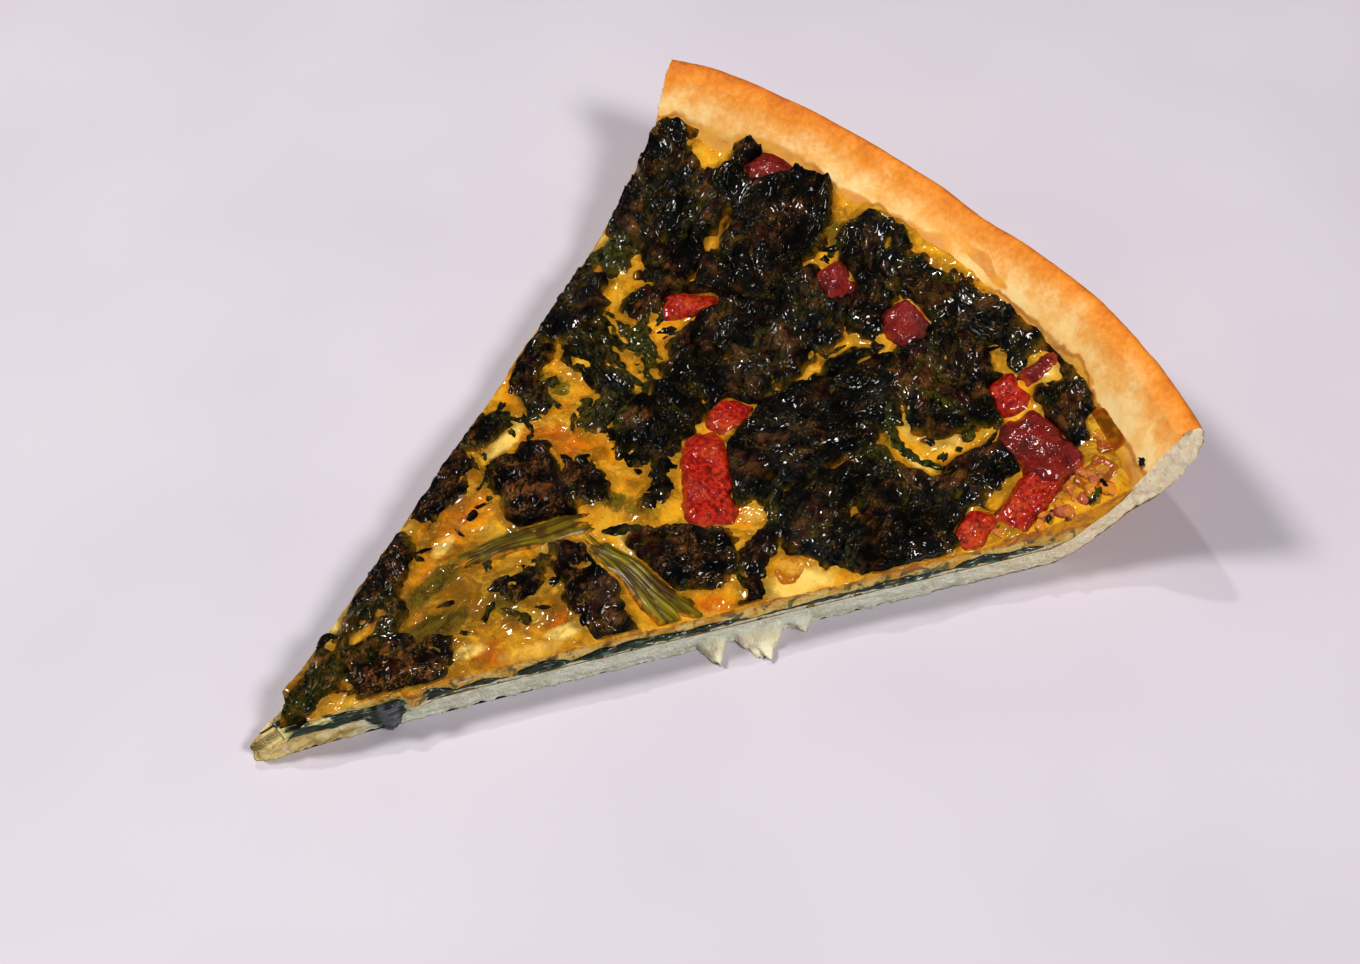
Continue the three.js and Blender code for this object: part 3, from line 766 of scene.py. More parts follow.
def makeLeafLayer():
    shape = layerShape
    along = np.arange(shape["start"], shape["end"], shape["grid"])
    across = acrossSteps(shape["grid"], shape["inside"], arcShare * shape["end"], shape["band"])

    # a wavy band on the crust, tucked into it at the tip; one leaf of it hangs over the right-hand cut
    def place(u, v, w):
        u, v, w = np.broadcast_arrays(u, v, w)
        point = inSlice(u, v, 0 * u)
        lifted = crustShape["thick"] + 1.1 * step(u + 2 * noise(u, v * 3, 5, 6, 104), 18, 30)
        below = lifted - 0.4 * np.maximum(0, noise(u, v * 3, 0, 5, 103))
        frayed = u - hangShape["at"] + 1.2 * noise(u, 0, 0, 1.8, 108)
        hanging = hump(frayed, hangShape["width"]) ** 0.6 * (v < 1e-6 - 1)
        below = below - hangShape["drop"] * hanging
        tuck = np.exp(-(u - shape["start"]) / 1.6)
        leaves = lerp(leafThickness(u, -1), leafThickness(u, 1), (v + 1) / 2)
        above = np.minimum(lifted + leaves, custardHeight(point[..., 0], point[..., 1]) - 0.1)
        above = lerp(np.maximum(above, below + 0.2), shape["tipTop"], tuck)
        point[..., 2] = lerp(np.minimum(below, above - 0.2), above, w)
        return point

    last = len(along) - 1
    points, faces = slab(along, across, np.linspace(0, 1, shape["levels"]), place, last, last)
    x, y, z = points.T
    radius = np.hypot(x, y)
    normals = normalsOf(points, faces)
    curls = np.zeros(len(points))
    for side in (-1, 1):
        facing = step(normals @ cutNormal(side), 0.4, 0.8)
        waves = z + 0.7 * noise(radius, side * 7, 0, 7, 109)
        leaves = np.abs(layered(radius * 0.4, waves * 2.2, side * 7, 1.9, 111, 3, 0.5)) ** 0.7
        bold = 0.35 + 0.65 * step(leafThickness(radius, side), 0.5, 1.3)
        out = bold * (0.15 + 0.95 * leaves) * step(radius, 1.0, 9.0)
        out = out + 0.9 * hump(radius - hangShape["at"], hangShape["width"] * 1.2) * (side < 0)
        points = points + (facing * out)[:, None] * cutNormal(side)
        curls = np.maximum(curls, facing * leaves)
    atTip = (1 - step(radius, 3, 8)) * (normals[:, 2] > 0.5)
    hanging = hump(radius - hangShape["at"], hangShape["width"]) * (y < 0)
    pale = 0.5 + 0.5 * layered(radius, z * 4.5, y * 0.1, 5, 121, 3) + 0.15 * atTip - 0.6 * hanging
    pale = pale + 0.14 * (1 - step(radius, 22, 30))
    # the hanging leaf's mask is stored for the painted sheen on it
    makePiece("leafLayer", points, faces, leafLayerMaterial(), ["spinach_layer"],
              {"pale": pale, "curl": curls, "hangingSheen": hanging})
    print("leaf layer:", len(points), "points")


def leafLayerMaterial():
    g = Graph("cutLeaves", {"Roughness": 0.35, "Coat Weight": 0.4, "Coat Roughness": 0.12})
    curl, pale, hangingSheen = g.stored("curl", "pale", "hangingSheen")
    sheets = g.noise(1.8, 4, 0.6, g.stretched((2.6, 2.6, 0.34)), 0.7)
    # painted light and shade on the cut leaves: lit is high where their curls stand out, coloured pale teal,
    # and low between them, coloured near-black
    lit = curl + (sheets - 0.5) * 1.2
    colour = g.over(
        (6, 14, 10),
        (lit.step(0.1, 0.5), (34, 64, 44)),
        (g.noise(9, 2, 0.5).step(0.45, 0.7) * 0.6, (50, 68, 20)),
        (lit.step(0.42, 0.85), (112, 142, 104)),
        ((pale + (sheets - 0.5) * 0.9).step(0.74, 0.86), (214, 208, 150)),
        # painted sheen: the leaf hanging over the right-hand cut is coloured grey to stand for the shine on
        # its wet face
        (hangingSheen.step(0.3, 0.7) * 0.85, g.mix(sheets.step(0.4, 0.6), (46, 48, 50), (116, 120, 122))),
    )
    return g.finish(Base_Color=colour, Normal=g.bump(sheets, 0.6, 0.8))


# Custard

# spots of colour: (x, y, half length, half width, turn, strength)
custardSpots = {
    "brown": [
        (69, 13, 10, 7, 70, 0.75), (68, 19, 4, 4, 0, 0.9), (73, 9, 1.6, 1.6, 0, 1.0),
        (46, -14, 3.2, 2.6, 60, 1.0), (33.5, -12.5, 2.8, 2.2, 0, 0.8), (47, 15, 9, 4.5, 25, 0.7),
        (88, -6, 17, 4.5, 52, 0.45), (66, -29, 3.5, 3, 0, 0.7), (81, -32, 4, 3, 0, 0.4),
        (100, 20, 3, 4, 60, 0.4), (71, 29, 4, 2.5, 30, 0.5), (126, 26, 6, 3, 30, 0.5),
        (113, 53, 2.2, 2.5, 0, 0.8), (20, 10.5, 3.4, 1.6, 25, 0.7), (36, 6, 5, 3, 20, 0.4),
    ],
    "pale": [
        (62.5, 22.5, 6.5, 2.4, 18, 0.9), (65.5, -10.5, 3, 5, 10, 1.0), (84.5, -19, 3.5, 3, 0, 0.5),
        (79, -34, 8, 3.4, -22, 0.75), (97.5, 15, 2.2, 5, 70, 0.8), (118.5, -24.5, 3.2, 8, 8, 1.0),
        (112.5, -28, 1.6, 5, 0, 0.8), (139.5, -33.5, 4, 1.4, 0, 1.0), (139, 2, 2.2, 2.5, 0, 0.9),
        (127, -1, 2, 4, 0, 0.9), (39, -16.5, 6, 2, -25, 0.55), (15, 8, 4, 2.5, 20, 1.0),
        (19, 8.6, 7, 1.7, 25, 1.0), (36, 16.2, 5, 1.2, 25, 0.7), (31, -10, 3.4, 1.6, -20, 0.8),
        (45, -17, 3.4, 1.4, -25, 0.9), (24, 1.4, 2.4, 1, 0, 0.7), (41, 10.5, 3.4, 1.5, 20, 0.7),
        (54, -1.5, 3.6, 1.3, 30, 0.8), (46, -5, 2.4, 1.8, 0, 0.6), (135, 48, 3.4, 3, 0, 0.4),
        (107, 50, 4, 2, 25, 0.8), (88, -36, 4, 2, -20, 0.6),
    ],
    "green": [
        (28, -2.5, 9, 3.2, -15, 0.8), (35, 5, 8, 2.2, 10, 0.75), (25, -8.5, 6, 2.2, 0, 0.6),
        (41, -7, 2, 5, 0, 0.6), (50, 4, 6, 2.5, 30, 0.5), (69, -3, 2.6, 8, 30, 0.5),
        (84, 13, 6, 3, 60, 0.6), (57, 18, 7, 2, 30, 0.5), (76, 29, 3, 7, 20, 0.5),
        (113, -26, 2, 9, 10, 0.4), (137, 17, 3, 6, 0, 0.5),
    ],
    "olive": [
        (36, -1, 9, 8, 20, 1.0), (26, -6, 7, 4, -20, 0.8), (42, 5, 9, 5, 10, 0.8), (55, -6, 8, 6, 0, 0.7),
        (45, -10, 8, 5, -20, 0.8), (56, 11, 9, 4, 60, 0.5), (30, 4, 6, 4, 10, 0.8), (49, 6, 7, 3, -10, 0.5),
        (72, -3, 8, 4, 20, 0.6), (78, 24, 7, 5, 70, 0.5), (61, 25, 4, 3, 0, 0.5), (106, 3, 9, 4, 10, 0.8),
        (118, -4, 5, 4, 0, 0.5), (100, 30, 5, 5, 0, 0.4), (26, -9, 4, 3, 0, 0.5), (123, 14, 4, 6, 0, 0.4),
        (134, -52, 6, 9, 70, 0.8), (138, 20, 5, 8, 20, 0.8), (115, -10, 12, 4, 10, 0.7),
        (122, -48, 8, 5, -30, 0.6), (95, 12, 9, 3, 20, 0.6),
    ],
}


# soft spots, each an ellipse with a wandering edge; the strongest one counts
def spotted(spots, x, y, wander):
    total = np.zeros(np.shape(x))
    for spot in spots:
        along, across = onTopping(spot, x, y)
        away = np.hypot(along / spot[2], across / spot[3]) + wander
        total = np.maximum(total, spot[5] * (1 - step(away, 0.5, 1.4)))
    return total


def custardRelief(x, y):
    rise = 0.55 * step(heapDepth(spinachHeaps, x, y), -2.6, 0.4)
    swells = 0.34 * layered(x, y, 0, 6.0, 133, 4, 0.55)
    bubbles, owner = cells(x + 0.8 * noise(x, y, 0, 4, 135), y, 2.6, 137)
    blisters = 0.34 * np.sqrt(np.clip(1 - (bubbles / 0.5) ** 2, 0, 1)) * step(owner, 0.55, 1.0)
    return rise + swells + blisters


# where the custard starts, and the millimetres between its points along the slice, at the cuts and inside
custardGrid = {"start": 5.5, "along": 0.52, "nearCut": 0.4, "inside": 0.62, "levels": 12}


def makeCustard():
    end = fillingShape["end"]
    along = np.arange(custardGrid["start"], end, custardGrid["along"])
    across = acrossSteps(custardGrid["nearCut"], custardGrid["inside"], arcShare * end)
    levels = np.linspace(0, 1, custardGrid["levels"])

    # at the cuts it comes down between the leaves to the crust
    def place(u, v, w):
        u, v, w = np.broadcast_arrays(u, v, w)
        point = inSlice(u, v, 0 * u)
        x, y = point[..., 0], point[..., 1]
        above = custardHeight(x, y) + custardRelief(x, y)
        foot = np.where(np.abs(v) > 1 - 1e-6, crustShape["thick"] + 0.05, fillingShape["leafTop"] + 0.2)
        foot = foot - dripShape["drop"] * hump(u - dripShape["at"], dripShape["width"]) * (v < 1e-6 - 1)
        below = np.maximum(foot, np.minimum(crustHeight(x, y) - 0.4, above - 0.4))
        point[..., 2] = lerp(np.minimum(below, above - 0.2), above, w)
        return point

    flat = int(np.searchsorted(along, baseEnd - 2))
    points, faces = slab(along, across, levels, place, flat, 0)
    x, y, z = points.T
    radius = np.hypot(x, y)
    normals = normalsOf(points, faces)
    onCut = np.zeros(len(points))
    buried = step(crustHeight(x, y) - z, 0.0, 0.5)
    for side in (-1, 1):
        facing = step(normals @ cutNormal(side), 0.5, 0.85)
        onCut = np.maximum(onCut, facing)
        ragged = 0.3 * layered(radius, z * 2, side, 2.6, 141, 3, 0.6)
        ragged = ragged + 1.3 * hump(radius - dripShape["at"], dripShape["width"] * 1.1) * (side < 0)
        points = points + (facing * ragged * (1 - buried) - 0.9 * buried * facing)[:, None] * cutNormal(side)
    wander = 0.45 * layered(x, y, 0, 5, 151, 4, 0.65)
    values = {key: spotted(spots, x, y, wander) for key, spots in custardSpots.items()}
    values["cut"] = onCut
    # near: how close the custard lies to a heap; it is coloured darker and olive there, partly leaf seen
    # through thin custard and partly painted shade beside the heaps
    values["near"] = step(heapDepth(spinachHeaps, x, y), -3.6, 0.4)
    values["low"] = z - crustShape["thick"]
    values["tipward"] = 1 - step(radius, 48, 78)
    makePiece("custardFilling", points, faces, custardMaterial(), ["custard"], values)
    print("custard:", len(points), "points")


def custardMaterial():
    g = Graph("setCustard", {"Coat Roughness": 0.1, "Specular IOR Level": 0.12})
    brown, pale, olive, near, green = g.stored("brown", "pale", "olive", "near", "green")
    cut, low, tipward = g.stored("cut", "low", "tipward")
    soft = g.noise(4.5, 5, 0.65)
    blotch = g.noise(2.2, 4, 0.6, None, 0.6)
    fine = g.noise(0.7, 3, 0.6)
    browned = brown + (soft - 0.5) * 1.5 + (fine - 0.5) * 0.4
    specks = g.noise(1.5, 4, 0.65, None, 1.0).step(0.62, 0.7) * soft.step(0.42, 0.55)
    colour = g.over(
        (220, 172, 42),
        (browned.step(-0.4, 0.4), (212, 138, 6)),
        (browned.step(0.4, 1.0), (188, 100, 4)),
        (browned.step(0.95, 1.4), (100, 46, 4)),
        ((olive + (blotch - 0.5) * 0.9).step(0.2, 0.95) * 0.85, (132, 90, 4)),
        ((pale + (soft - 0.5) * 0.7).step(0.3, 0.85), (238, 206, 116)),
        # custard beside the heaps: darker olive amber, partly leaf seen through it and partly painted shade
        ((near + (blotch - 0.5) * 1.2).step(0.3, 1.1) * 0.85,
         g.mix(blotch.step(0.38, 0.62), (90, 60, 4), (166, 122, 10))),
        (specks * 0.75, (74, 42, 8)),
    )
    veil = g.noise(5.0, 5, 0.7, g.stretched((1, 1.7, 1), 35), 0.5)
    golden = g.over(
        colour,
        (veil.step(0.5, 0.34) * 0.7, (222, 178, 62)),
        (fine.step(0.56, 0.72) * 0.4, (238, 196, 96)),
    )
    fibres = g.noise(1.3, 4, 0.65, g.stretched((2.4, 1, 1), 20), 0.9)
    sunken = green + g.noise(8, 4, 0.65).step(0.5, 0.62) * 0.3 + (fibres - 0.5) * 1.4 + (soft - 0.5) * 0.8
    level = low + (blotch - 0.5) * 1.2
    inside = g.over(
        g.mix(fine.step(0.4, 0.6), (196, 192, 164), (220, 214, 184)),
        (level.step(1.0, 1.5), g.mix(soft.step(0.4, 0.6), (222, 198, 128), (206, 160, 70))),
        (blotch.step(0.5, 0.62) * level.step(0.8, 1.6) * 0.8, (60, 72, 30)),
        (level.step(3.2, 4.4), g.mix(blotch.step(0.4, 0.6), (220, 158, 40), (176, 108, 12))),
    )
    colour = g.over(
        golden,
        (veil.step(0.5, 0.7) * (1 - pale) * 0.7, g.mix(fine, (92, 66, 4), (156, 112, 10))),
        (sunken.step(0.3, 0.75) * (1 - pale) * 0.85,
         g.mix(fibres.step(0.4, 0.62), (28, 32, 4), (104, 98, 14))),
        (tipward * blotch.step(0.3, 0.6) * 0.4, (104, 74, 20)),
        (cut, inside),
    )
    relief = g.bump(fine * 0.6 + soft * 0.3 + blotch * 0.3 + g.noise(0.4, 2, 0.5) * 0.4, 0.6, 0.75)
    return g.finish(Base_Color=colour, Roughness=0.45 + soft * 0.3, Coat_Weight=blotch.step(0.42, 0.58) * 0.6,
                    Normal=relief)


# Heaps of leaf, and the pieces that lie among them

# For each kind of topping: the distance between its points, how square its outline is, how far the mesh
# goes past the outline, how deep its sides go under the bed, and how far its points stray sideways.
heapShape = {
    "grid": 0.25,
    "squareness": 2.6,
    "margin": 2.6,
    "sink": 1.5,
    "stray": 0.25,
    "end": 145.3,          # no piece goes further up the rim
    "folds": (4.4, 1.0),   # size and height in millimetres
    "crinkles": (1.6, 0.5),
    "sheets": (6.5, 3.4, 0.75),     # sizes of the large and small leaf sheets, and their step
    "blisters": (1.5, 0.2),
    "pebbles": (0.8, 0.09),
    "poolSize": 6.5,
    "poolLevel": 0.3,      # custard shows where noise is above this, and more of it in loose heaps
    "looseLevel": 0.13,
}
baconShape = {"grid": 0.22, "squareness": 4.5, "margin": 1.2, "sink": 1.2, "stray": 0.25}
stemShape = {"grid": 0.2, "squareness": 4.0, "margin": 1.5, "sink": 1.0, "stray": 0, "fan": (0.28, 0.4)}
onionShape = {"grid": 0.2, "squareness": 2.2, "margin": 1.0, "sink": 1.0, "stray": 0}


# the shore of the heaps wanders by slow and quick noise, in millimetres
def shoreWaves(x, y):
    return 1.7 * noise(x, y, 0, 6.5, 171) + 0.9 * noise(x, y, 0, 2.8, 173) + 0.45 * noise(x, y, 0, 1.3, 175)


# how far inside the shore of one piece a place is, in millimetres; below 0 it is outside
def depthIn(spot, x, y, squareness, waves):
    return (1 - share(spot, x, y, squareness)) * min(spot[2], spot[3]) / 2 + waves


# the same for a heap of leaf, with pools of custard where drawn-out noise is high
def heapDepthIn(spot, x, y):
    depth = depthIn(spot, x, y, heapShape["squareness"], shoreWaves(x, y))
    along, across = alongAcross(x, y, spot[7])
    level = heapShape["looseLevel" if spot in looseHeaps else "poolLevel"]
    pools = layered(along / 1.8, across, spot[0], heapShape["poolSize"], 177, 3, 0.55) - level
    return np.minimum(depth, 1.2 - np.maximum(pools, 0) * 11)


# the same for the deepest of many pieces
def heapDepth(pieces, x, y):
    def depthAt(number, px, py):
        if pieces is spinachHeaps:
            return heapDepthIn(pieces[number], px, py)
        return depthIn(pieces[number], px, py, 3.5, shoreWaves(px, py) * 0.35)

    return highest(pieces, x, y, 6, -9.0, depthAt)


# the mesh of a piece ends `margin` past its outline, inside the cuts, or high on the rim
def meshReach(spot, around, squareness, margin):
    reach = ((np.abs(np.cos(around)) / (spot[2] / 2)) ** squareness
             + (np.abs(np.sin(around)) / (spot[3] / 2)) ** squareness) ** (-1 / squareness) + margin
    turned = around + math.radians(spot[4])
    dx, dy = np.cos(turned), np.sin(turned)
    for side in (-1, 1):
        normal = cutNormal(side)
        toward = dx * normal[0] + dy * normal[1]
        room = 0.2 * noise(turned * 5, 0, spot[0], 1.0, 161) - 0.5 + insideCut(side, spot[0], spot[1])
        limit = room / np.maximum(toward, 1e-6)
        reach = np.where((toward > 0) & (limit < reach), np.maximum(limit, 0.3), reach)
    outward = dx * spot[0] + dy * spot[1]
    rimLimit = np.sqrt(outward ** 2 + heapShape["end"] ** 2 - spot[0] ** 2 - spot[1] ** 2) - outward
    return np.minimum(reach, np.maximum(rimLimit, 0.5))


# Rings of points over a piece's area. top(x, y) gives the height over the bed, below 0 where the
# piece dips under the custard. Its sides go down under the bed, and a fan closes it.
def moundPoints(spot, shape, top):
    grid, margin = shape["grid"], shape["margin"]
    sectors = max(28, int((math.pi * (spot[2] + spot[3]) / 2 + 6 * margin) / grid))
    rings = max(8, int((max(spot[2], spot[3]) / 2 + margin) / grid))
    around = np.linspace(0, 2 * math.pi, sectors, endpoint=False)
    reach = meshReach(spot, around, shape["squareness"], margin)
    out = (np.arange(1, rings + 1) / rings)[:, None]
    turned = around + math.radians(spot[4])
    x = spot[0] + np.cos(turned) * reach * out
    y = spot[1] + np.sin(turned) * reach * out
    height = top(x, y)
    bed = bedHeight(x, y)
    if shape["stray"]:
        inner = 1 - out ** 6
        push = noise(x, y, height, 2.2, 181), noise(x, y, height, 2.2, 183)
        x, y = x + shape["stray"] * inner * push[0], y + shape["stray"] * inner * push[1]
    walls = 4
    down = (np.arange(1, walls + 1) / walls)[:, None]
    ringX, ringY = np.repeat(x[-1:], walls, 0), np.repeat(y[-1:], walls, 0)
    ringZ = bed[-1:] + lerp(height[-1:], -shape["sink"], down)
    bulge = 0.35 * noise(ringX, ringY, ringZ, 1.6, 185) * np.sin(math.pi * down)
    ringX, ringY = ringX + bulge * np.cos(turned), ringY + bulge * np.sin(turned)
    x, y, z = (np.concatenate(pair) for pair in ((x, ringX), (y, ringY), (bed + height, ringZ)))
    ends = np.array([[spot[0], spot[1], z[0].mean()], [spot[0], spot[1], z[-1].min()]])
    points = np.concatenate([np.stack([x, y, z], -1).reshape(-1, 3), ends])
    return points, list(ringFaces(rings + walls, sectors))


# one topping from its place, the kind's shape, top(x, y), and numbersAt(x, y) for what its points store
def makeMound(name, slot, number, spot, shape, material, top, numbersAt):
    points, faces = moundPoints(spot, shape, top)
    makePiece(f"{name}{number:02d}", points, faces, material, [f"{slot}_{number:02d}"],
              numbersAt(points[:, 0], points[:, 1]))
    return len(points)


# coordinates turned to the lie of a leaf's folds, drawn out along them, and bent by slow noise
def alongFolds(x, y, lie, drawn, seed):
    along, across = alongAcross(x, y, lie)
    return along / drawn + 1.3 * noise(x, y, 1, 5.5, seed), across + 1.3 * noise(x, y, 2, 5.5, seed + 1)


# round domes, one in each cell, at least as high as `low` and no higher than 1
def domes(along, across, size, seed, low):
    away, owner = cells(along, across, size, seed)
    return np.sqrt(np.clip(1 - (away / 0.7) ** 2, 0, 1)) * (low + (1 - low) * owner)


# Wilted leaf: |noise| gives rounded folds parted by creases, drawn-out |noise| the crinkles along them,
# noise cut off at a level the edges of leaves that lie on others, and round domes the blistered skin.
# Each part runs from 0 to 1.
def wilted(x, y, spot, seed):
    shape = heapShape
    along, across = alongFolds(x, y, spot[7], spot[8], seed)
    folds = np.minimum(1, 1.6 * np.abs(noise(along, across, 0, shape["folds"][0], seed + 2)) ** 0.85)
    bent = across + 0.8 * noise(x, y, 3, 2.6, seed + 7)
    crinkles = np.minimum(1, 1.7 * np.abs(noise(along / 1.7, bent, 4, shape["crinkles"][0], seed + 6)) ** 0.8)
    blisters = domes(along, across, shape["blisters"][0], seed + 3, 0.3)
    pebbles = domes(along, across, shape["pebbles"][0], seed + 4, 0.2)
    large = step(noise(along * 0.7, bent, 6, shape["sheets"][0], seed + 8), -0.06, 0.05)
    small = step(noise(along * 0.8, bent, 8, shape["sheets"][1], seed + 9), 0.0, 0.1)
    return folds, crinkles, blisters, pebbles, 0.6 * large + 0.4 * small


def heapSeed(number):
    return 200 + number * 17


# height of one heap over the bed; below 0 where it dips under the custard
def heapTop(number, x, y):
    shape, spot, seed = heapShape, spinachHeaps[number], heapSeed(number)
    high = spot[5]
    folds, crinkles, blisters, pebbles, sheets = wilted(x, y, spot, seed)
    depth = heapDepthIn(spot, x, y)
    plateau = (0.5 * high - 0.6) * (0.75 + 0.5 * noise(x, y, 0, 9, seed + 6))
    relief = shape["folds"][1] * folds * (0.4 + 0.2 * high) + shape["crinkles"][1] * crinkles
    relief = relief + shape["blisters"][1] * blisters + shape["pebbles"][1] * pebbles
    relief = relief + shape["sheets"][2] * sheets
    above = step(depth, -1.1, 1.5) * (plateau + relief) - (1 - step(depth, -2.2, -0.4))
    cover = np.maximum(coveredBy(baconPieces, x, y, 4.5), coveredBy(stemPieces, x, y, 3))
    cover = np.maximum(cover, coveredBy(onionPieces, x, y, 2))
    return above * (1 - cover) - 1.4 * cover


# height of whatever lies uppermost, custard or leaf
def surfaceHeight(x, y):
    return bedHeight(x, y) + highest(spinachHeaps, x, y, 4, custardRelief(x, y), heapTop)


def makeHeaps(material):
    total = 0
    for number, spot in enumerate(spinachHeaps):

        def numbersAt(x, y):
            folds, crinkles, blisters, pebbles, sheets = wilted(x, y, spot, heapSeed(number))
            return {
                "crest": np.clip(0.45 * folds + 0.4 * crinkles + 0.25 * blisters + 0.1 * pebbles, 0, 1),
                "green": spot[6],
                "film": 1 - step(heapDepthIn(spot, x, y), -1.0, 1.8),
                "sheet": sheets,
                "scorch": 1 - step(x, 55, 85),
            }

        total += makeMound("leaf", "spinach", number + 1, spot, heapShape, material,
                           lambda x, y: heapTop(number, x, y), numbersAt)
    print("leaf heaps:", total, "points")


# Strips of leaf and threads of custard that lie over the heaps: (points, width, height, green, creamed)
leafStrips = [
    ([(13.2, 5.6), (14.4, 7.3), (16.2, 7.3), (16.8, 5.9)], 1.3, 0.9, 0.0, 0.0),
    ([(47.5, 11.8), (49.5, 13)], 1.7, 0.8, 0.1, 0.1),
    ([(70, 24), (72, 27.4), (75, 31)], 1.7, 0.8, 0.1, 0.0),
    ([(72, 27.4), (75.2, 27)], 1.3, 0.7, 0.2, 0.0),
    ([(92, 24), (96, 26), (100, 29)], 3.0, 0.8, 0.9, 0.1),
    ([(114, -33), (112.4, -27), (113.5, -21), (118, -16)], 2.2, 1.0, 0.7, 0.2),
    ([(123.5, -30), (124.4, -24), (122, -17)], 2.4, 1.0, 0.55, 0.2),
    ([(120.5, -31.4), (124, -30.4)], 2.0, 0.8, 0.8, 0.0),
    ([(62, -5), (66, -7.5), (69, -12)], 2.0, 0.7, 0.4, 0.3),
    ([(62, 27), (66, 25.5), (70, 21.5)], 1.5, 0.6, 0.5, 0.2),
    ([(52, 16.5), (56, 17), (58, 19.5)], 1.5, 0.5, 0.5, 0.2),
    ([(63, 17), (67, 20), (69, 25)], 1.3, 0.5, 0.4, 0.2),
    ([(77, 9), (81, 12.5), (86, 14)], 1.6, 0.5, 0.7, 0.3),
    ([(73, -4), (77, -2), (79, 2)], 1.4, 0.5, 0.3, 0.3),
    ([(100, 26), (104, 28.5), (109, 30)], 1.8, 0.6, 0.5, 0.2),
    ([(94, -21), (100, -24), (106, -24)], 1.8, 0.7, 0.3, 0.3),
    ([(116, 38), (121, 41), (128, 41)], 2.2, 0.8, 0.5, 0.2),
    ([(132, 20), (136, 15.5), (137, 17.5)], 1.6, 0.7, 0.3, 0.3),
]

# large heaps over which strips are strewn, how many dark and how many creamed ones over each, and the
# ranges of their lengths and widths
strewn = {
    "heaps": [11, 13, 15, 20, 21, 23, 27, 28, 31, 32],
    "counts": ((9, 0.0), (3, 1.0)),
    "long": (3.5, 9),
    "wide": (0.7, 1.7),
}


def strewnStrips():
    chooser = np.random.default_rng(11)
    strips = []
    for number in strewn["heaps"]:
        spot = spinachHeaps[number]
        for creamed in [creamed for count, creamed in strewn["counts"] for _ in range(count)]:
            out, around = math.sqrt(chooser.random()) * 0.42, chooser.random() * 2 * math.pi
            dx, dy = alongAcross(out * spot[2] * math.cos(around), out * spot[3] * math.sin(around), -spot[4])
            lie = math.radians(spot[7] + chooser.normal(0, 28))
            bend = chooser.normal(0, 0.5)
            half = chooser.uniform(*strewn["long"]) / 2
            line = [(spot[0] + dx + t * half * math.cos(lie + bend * t),
                     spot[1] + dy + t * half * math.sin(lie + bend * t)) for t in (-1, -0.4, 0.3, 1)]
            line = [at for at in line if insideCuts(*at) > 1.2 and math.hypot(*at) < heapShape["end"] - 2]
            if len(line) > 2:
                width = chooser.uniform(*strewn["wide"])
                green = chooser.random() * 0.5
                film = creamed * chooser.uniform(0.1, 0.45)
                strips.append((line, width * (1 - 0.4 * creamed), 0.3 * width, green, film))
    return strips


# A strip is a tapered, half-sunk tube whose middle line follows the surface.
def makeStrips(material):
    sides = 9
    around = np.linspace(0, 2 * math.pi, sides, endpoint=False)
    allPoints, allQuads, allTris, counts = [], [], [], []
    strips = leafStrips + strewnStrips()
    for order, (line, width, high, _, creamed) in enumerate(strips):
        length = np.hypot(*np.diff(np.array(line), axis=0).T).sum()
        stations = max(6, int(length / 0.35))
        t = np.linspace(0, 1, stations)
        run = t * length
        x, y = curve(line, t).T
        x, y = x + 0.5 * noise(run, order, 0, 3, 251), y + 0.5 * noise(run, order, 5, 3, 251)
        dx, dy = np.gradient(x), np.gradient(y)
        side = np.stack([-dy, dx]) / np.maximum(np.hypot(dx, dy), 1e-6)
        tapered = np.sqrt(np.sin(math.pi * (0.04 + 0.92 * t)))
        half = width / 2 * tapered * (1.1 + 0.6 * noise(run, order, 9, 1.3, 253))
        across = np.cos(around)[None, :] * half[:, None]
        lift = np.sin(around)[None, :] * high * np.sqrt(half / half.max())[:, None]
        px, py = x[:, None] + side[0][:, None] * across, y[:, None] + side[1][:, None] * across
        lift = lift * (0.7 + 0.35 * noise(px, py, 0, 0.8, 255))
        pz = surfaceHeight(x, y)[:, None] + lift + 0.05 - 0.25 * (creamed > 0)
        points = np.stack([px, py, pz], -1).reshape(-1, 3)
        quads, tris = ringFaces(stations, sides, sum(counts))
        allPoints.extend([points, np.stack([points[:sides].mean(0), points[-sides:].mean(0)])])
        allQuads.append(quads)
        allTris.append(tris)
        counts.append(len(points) + 2)
    values = {"crest": 0.5, "sheet": 0.5, "scorch": 0.0,
              "green": np.repeat([strip[3] for strip in strips], counts),
              "film": np.repeat([strip[4] for strip in strips], counts)}
    makePiece("leafStrips", np.concatenate(allPoints), [np.concatenate(allQuads), np.concatenate(allTris)],
              material, [], values)
    print("strips:", sum(counts), "points")


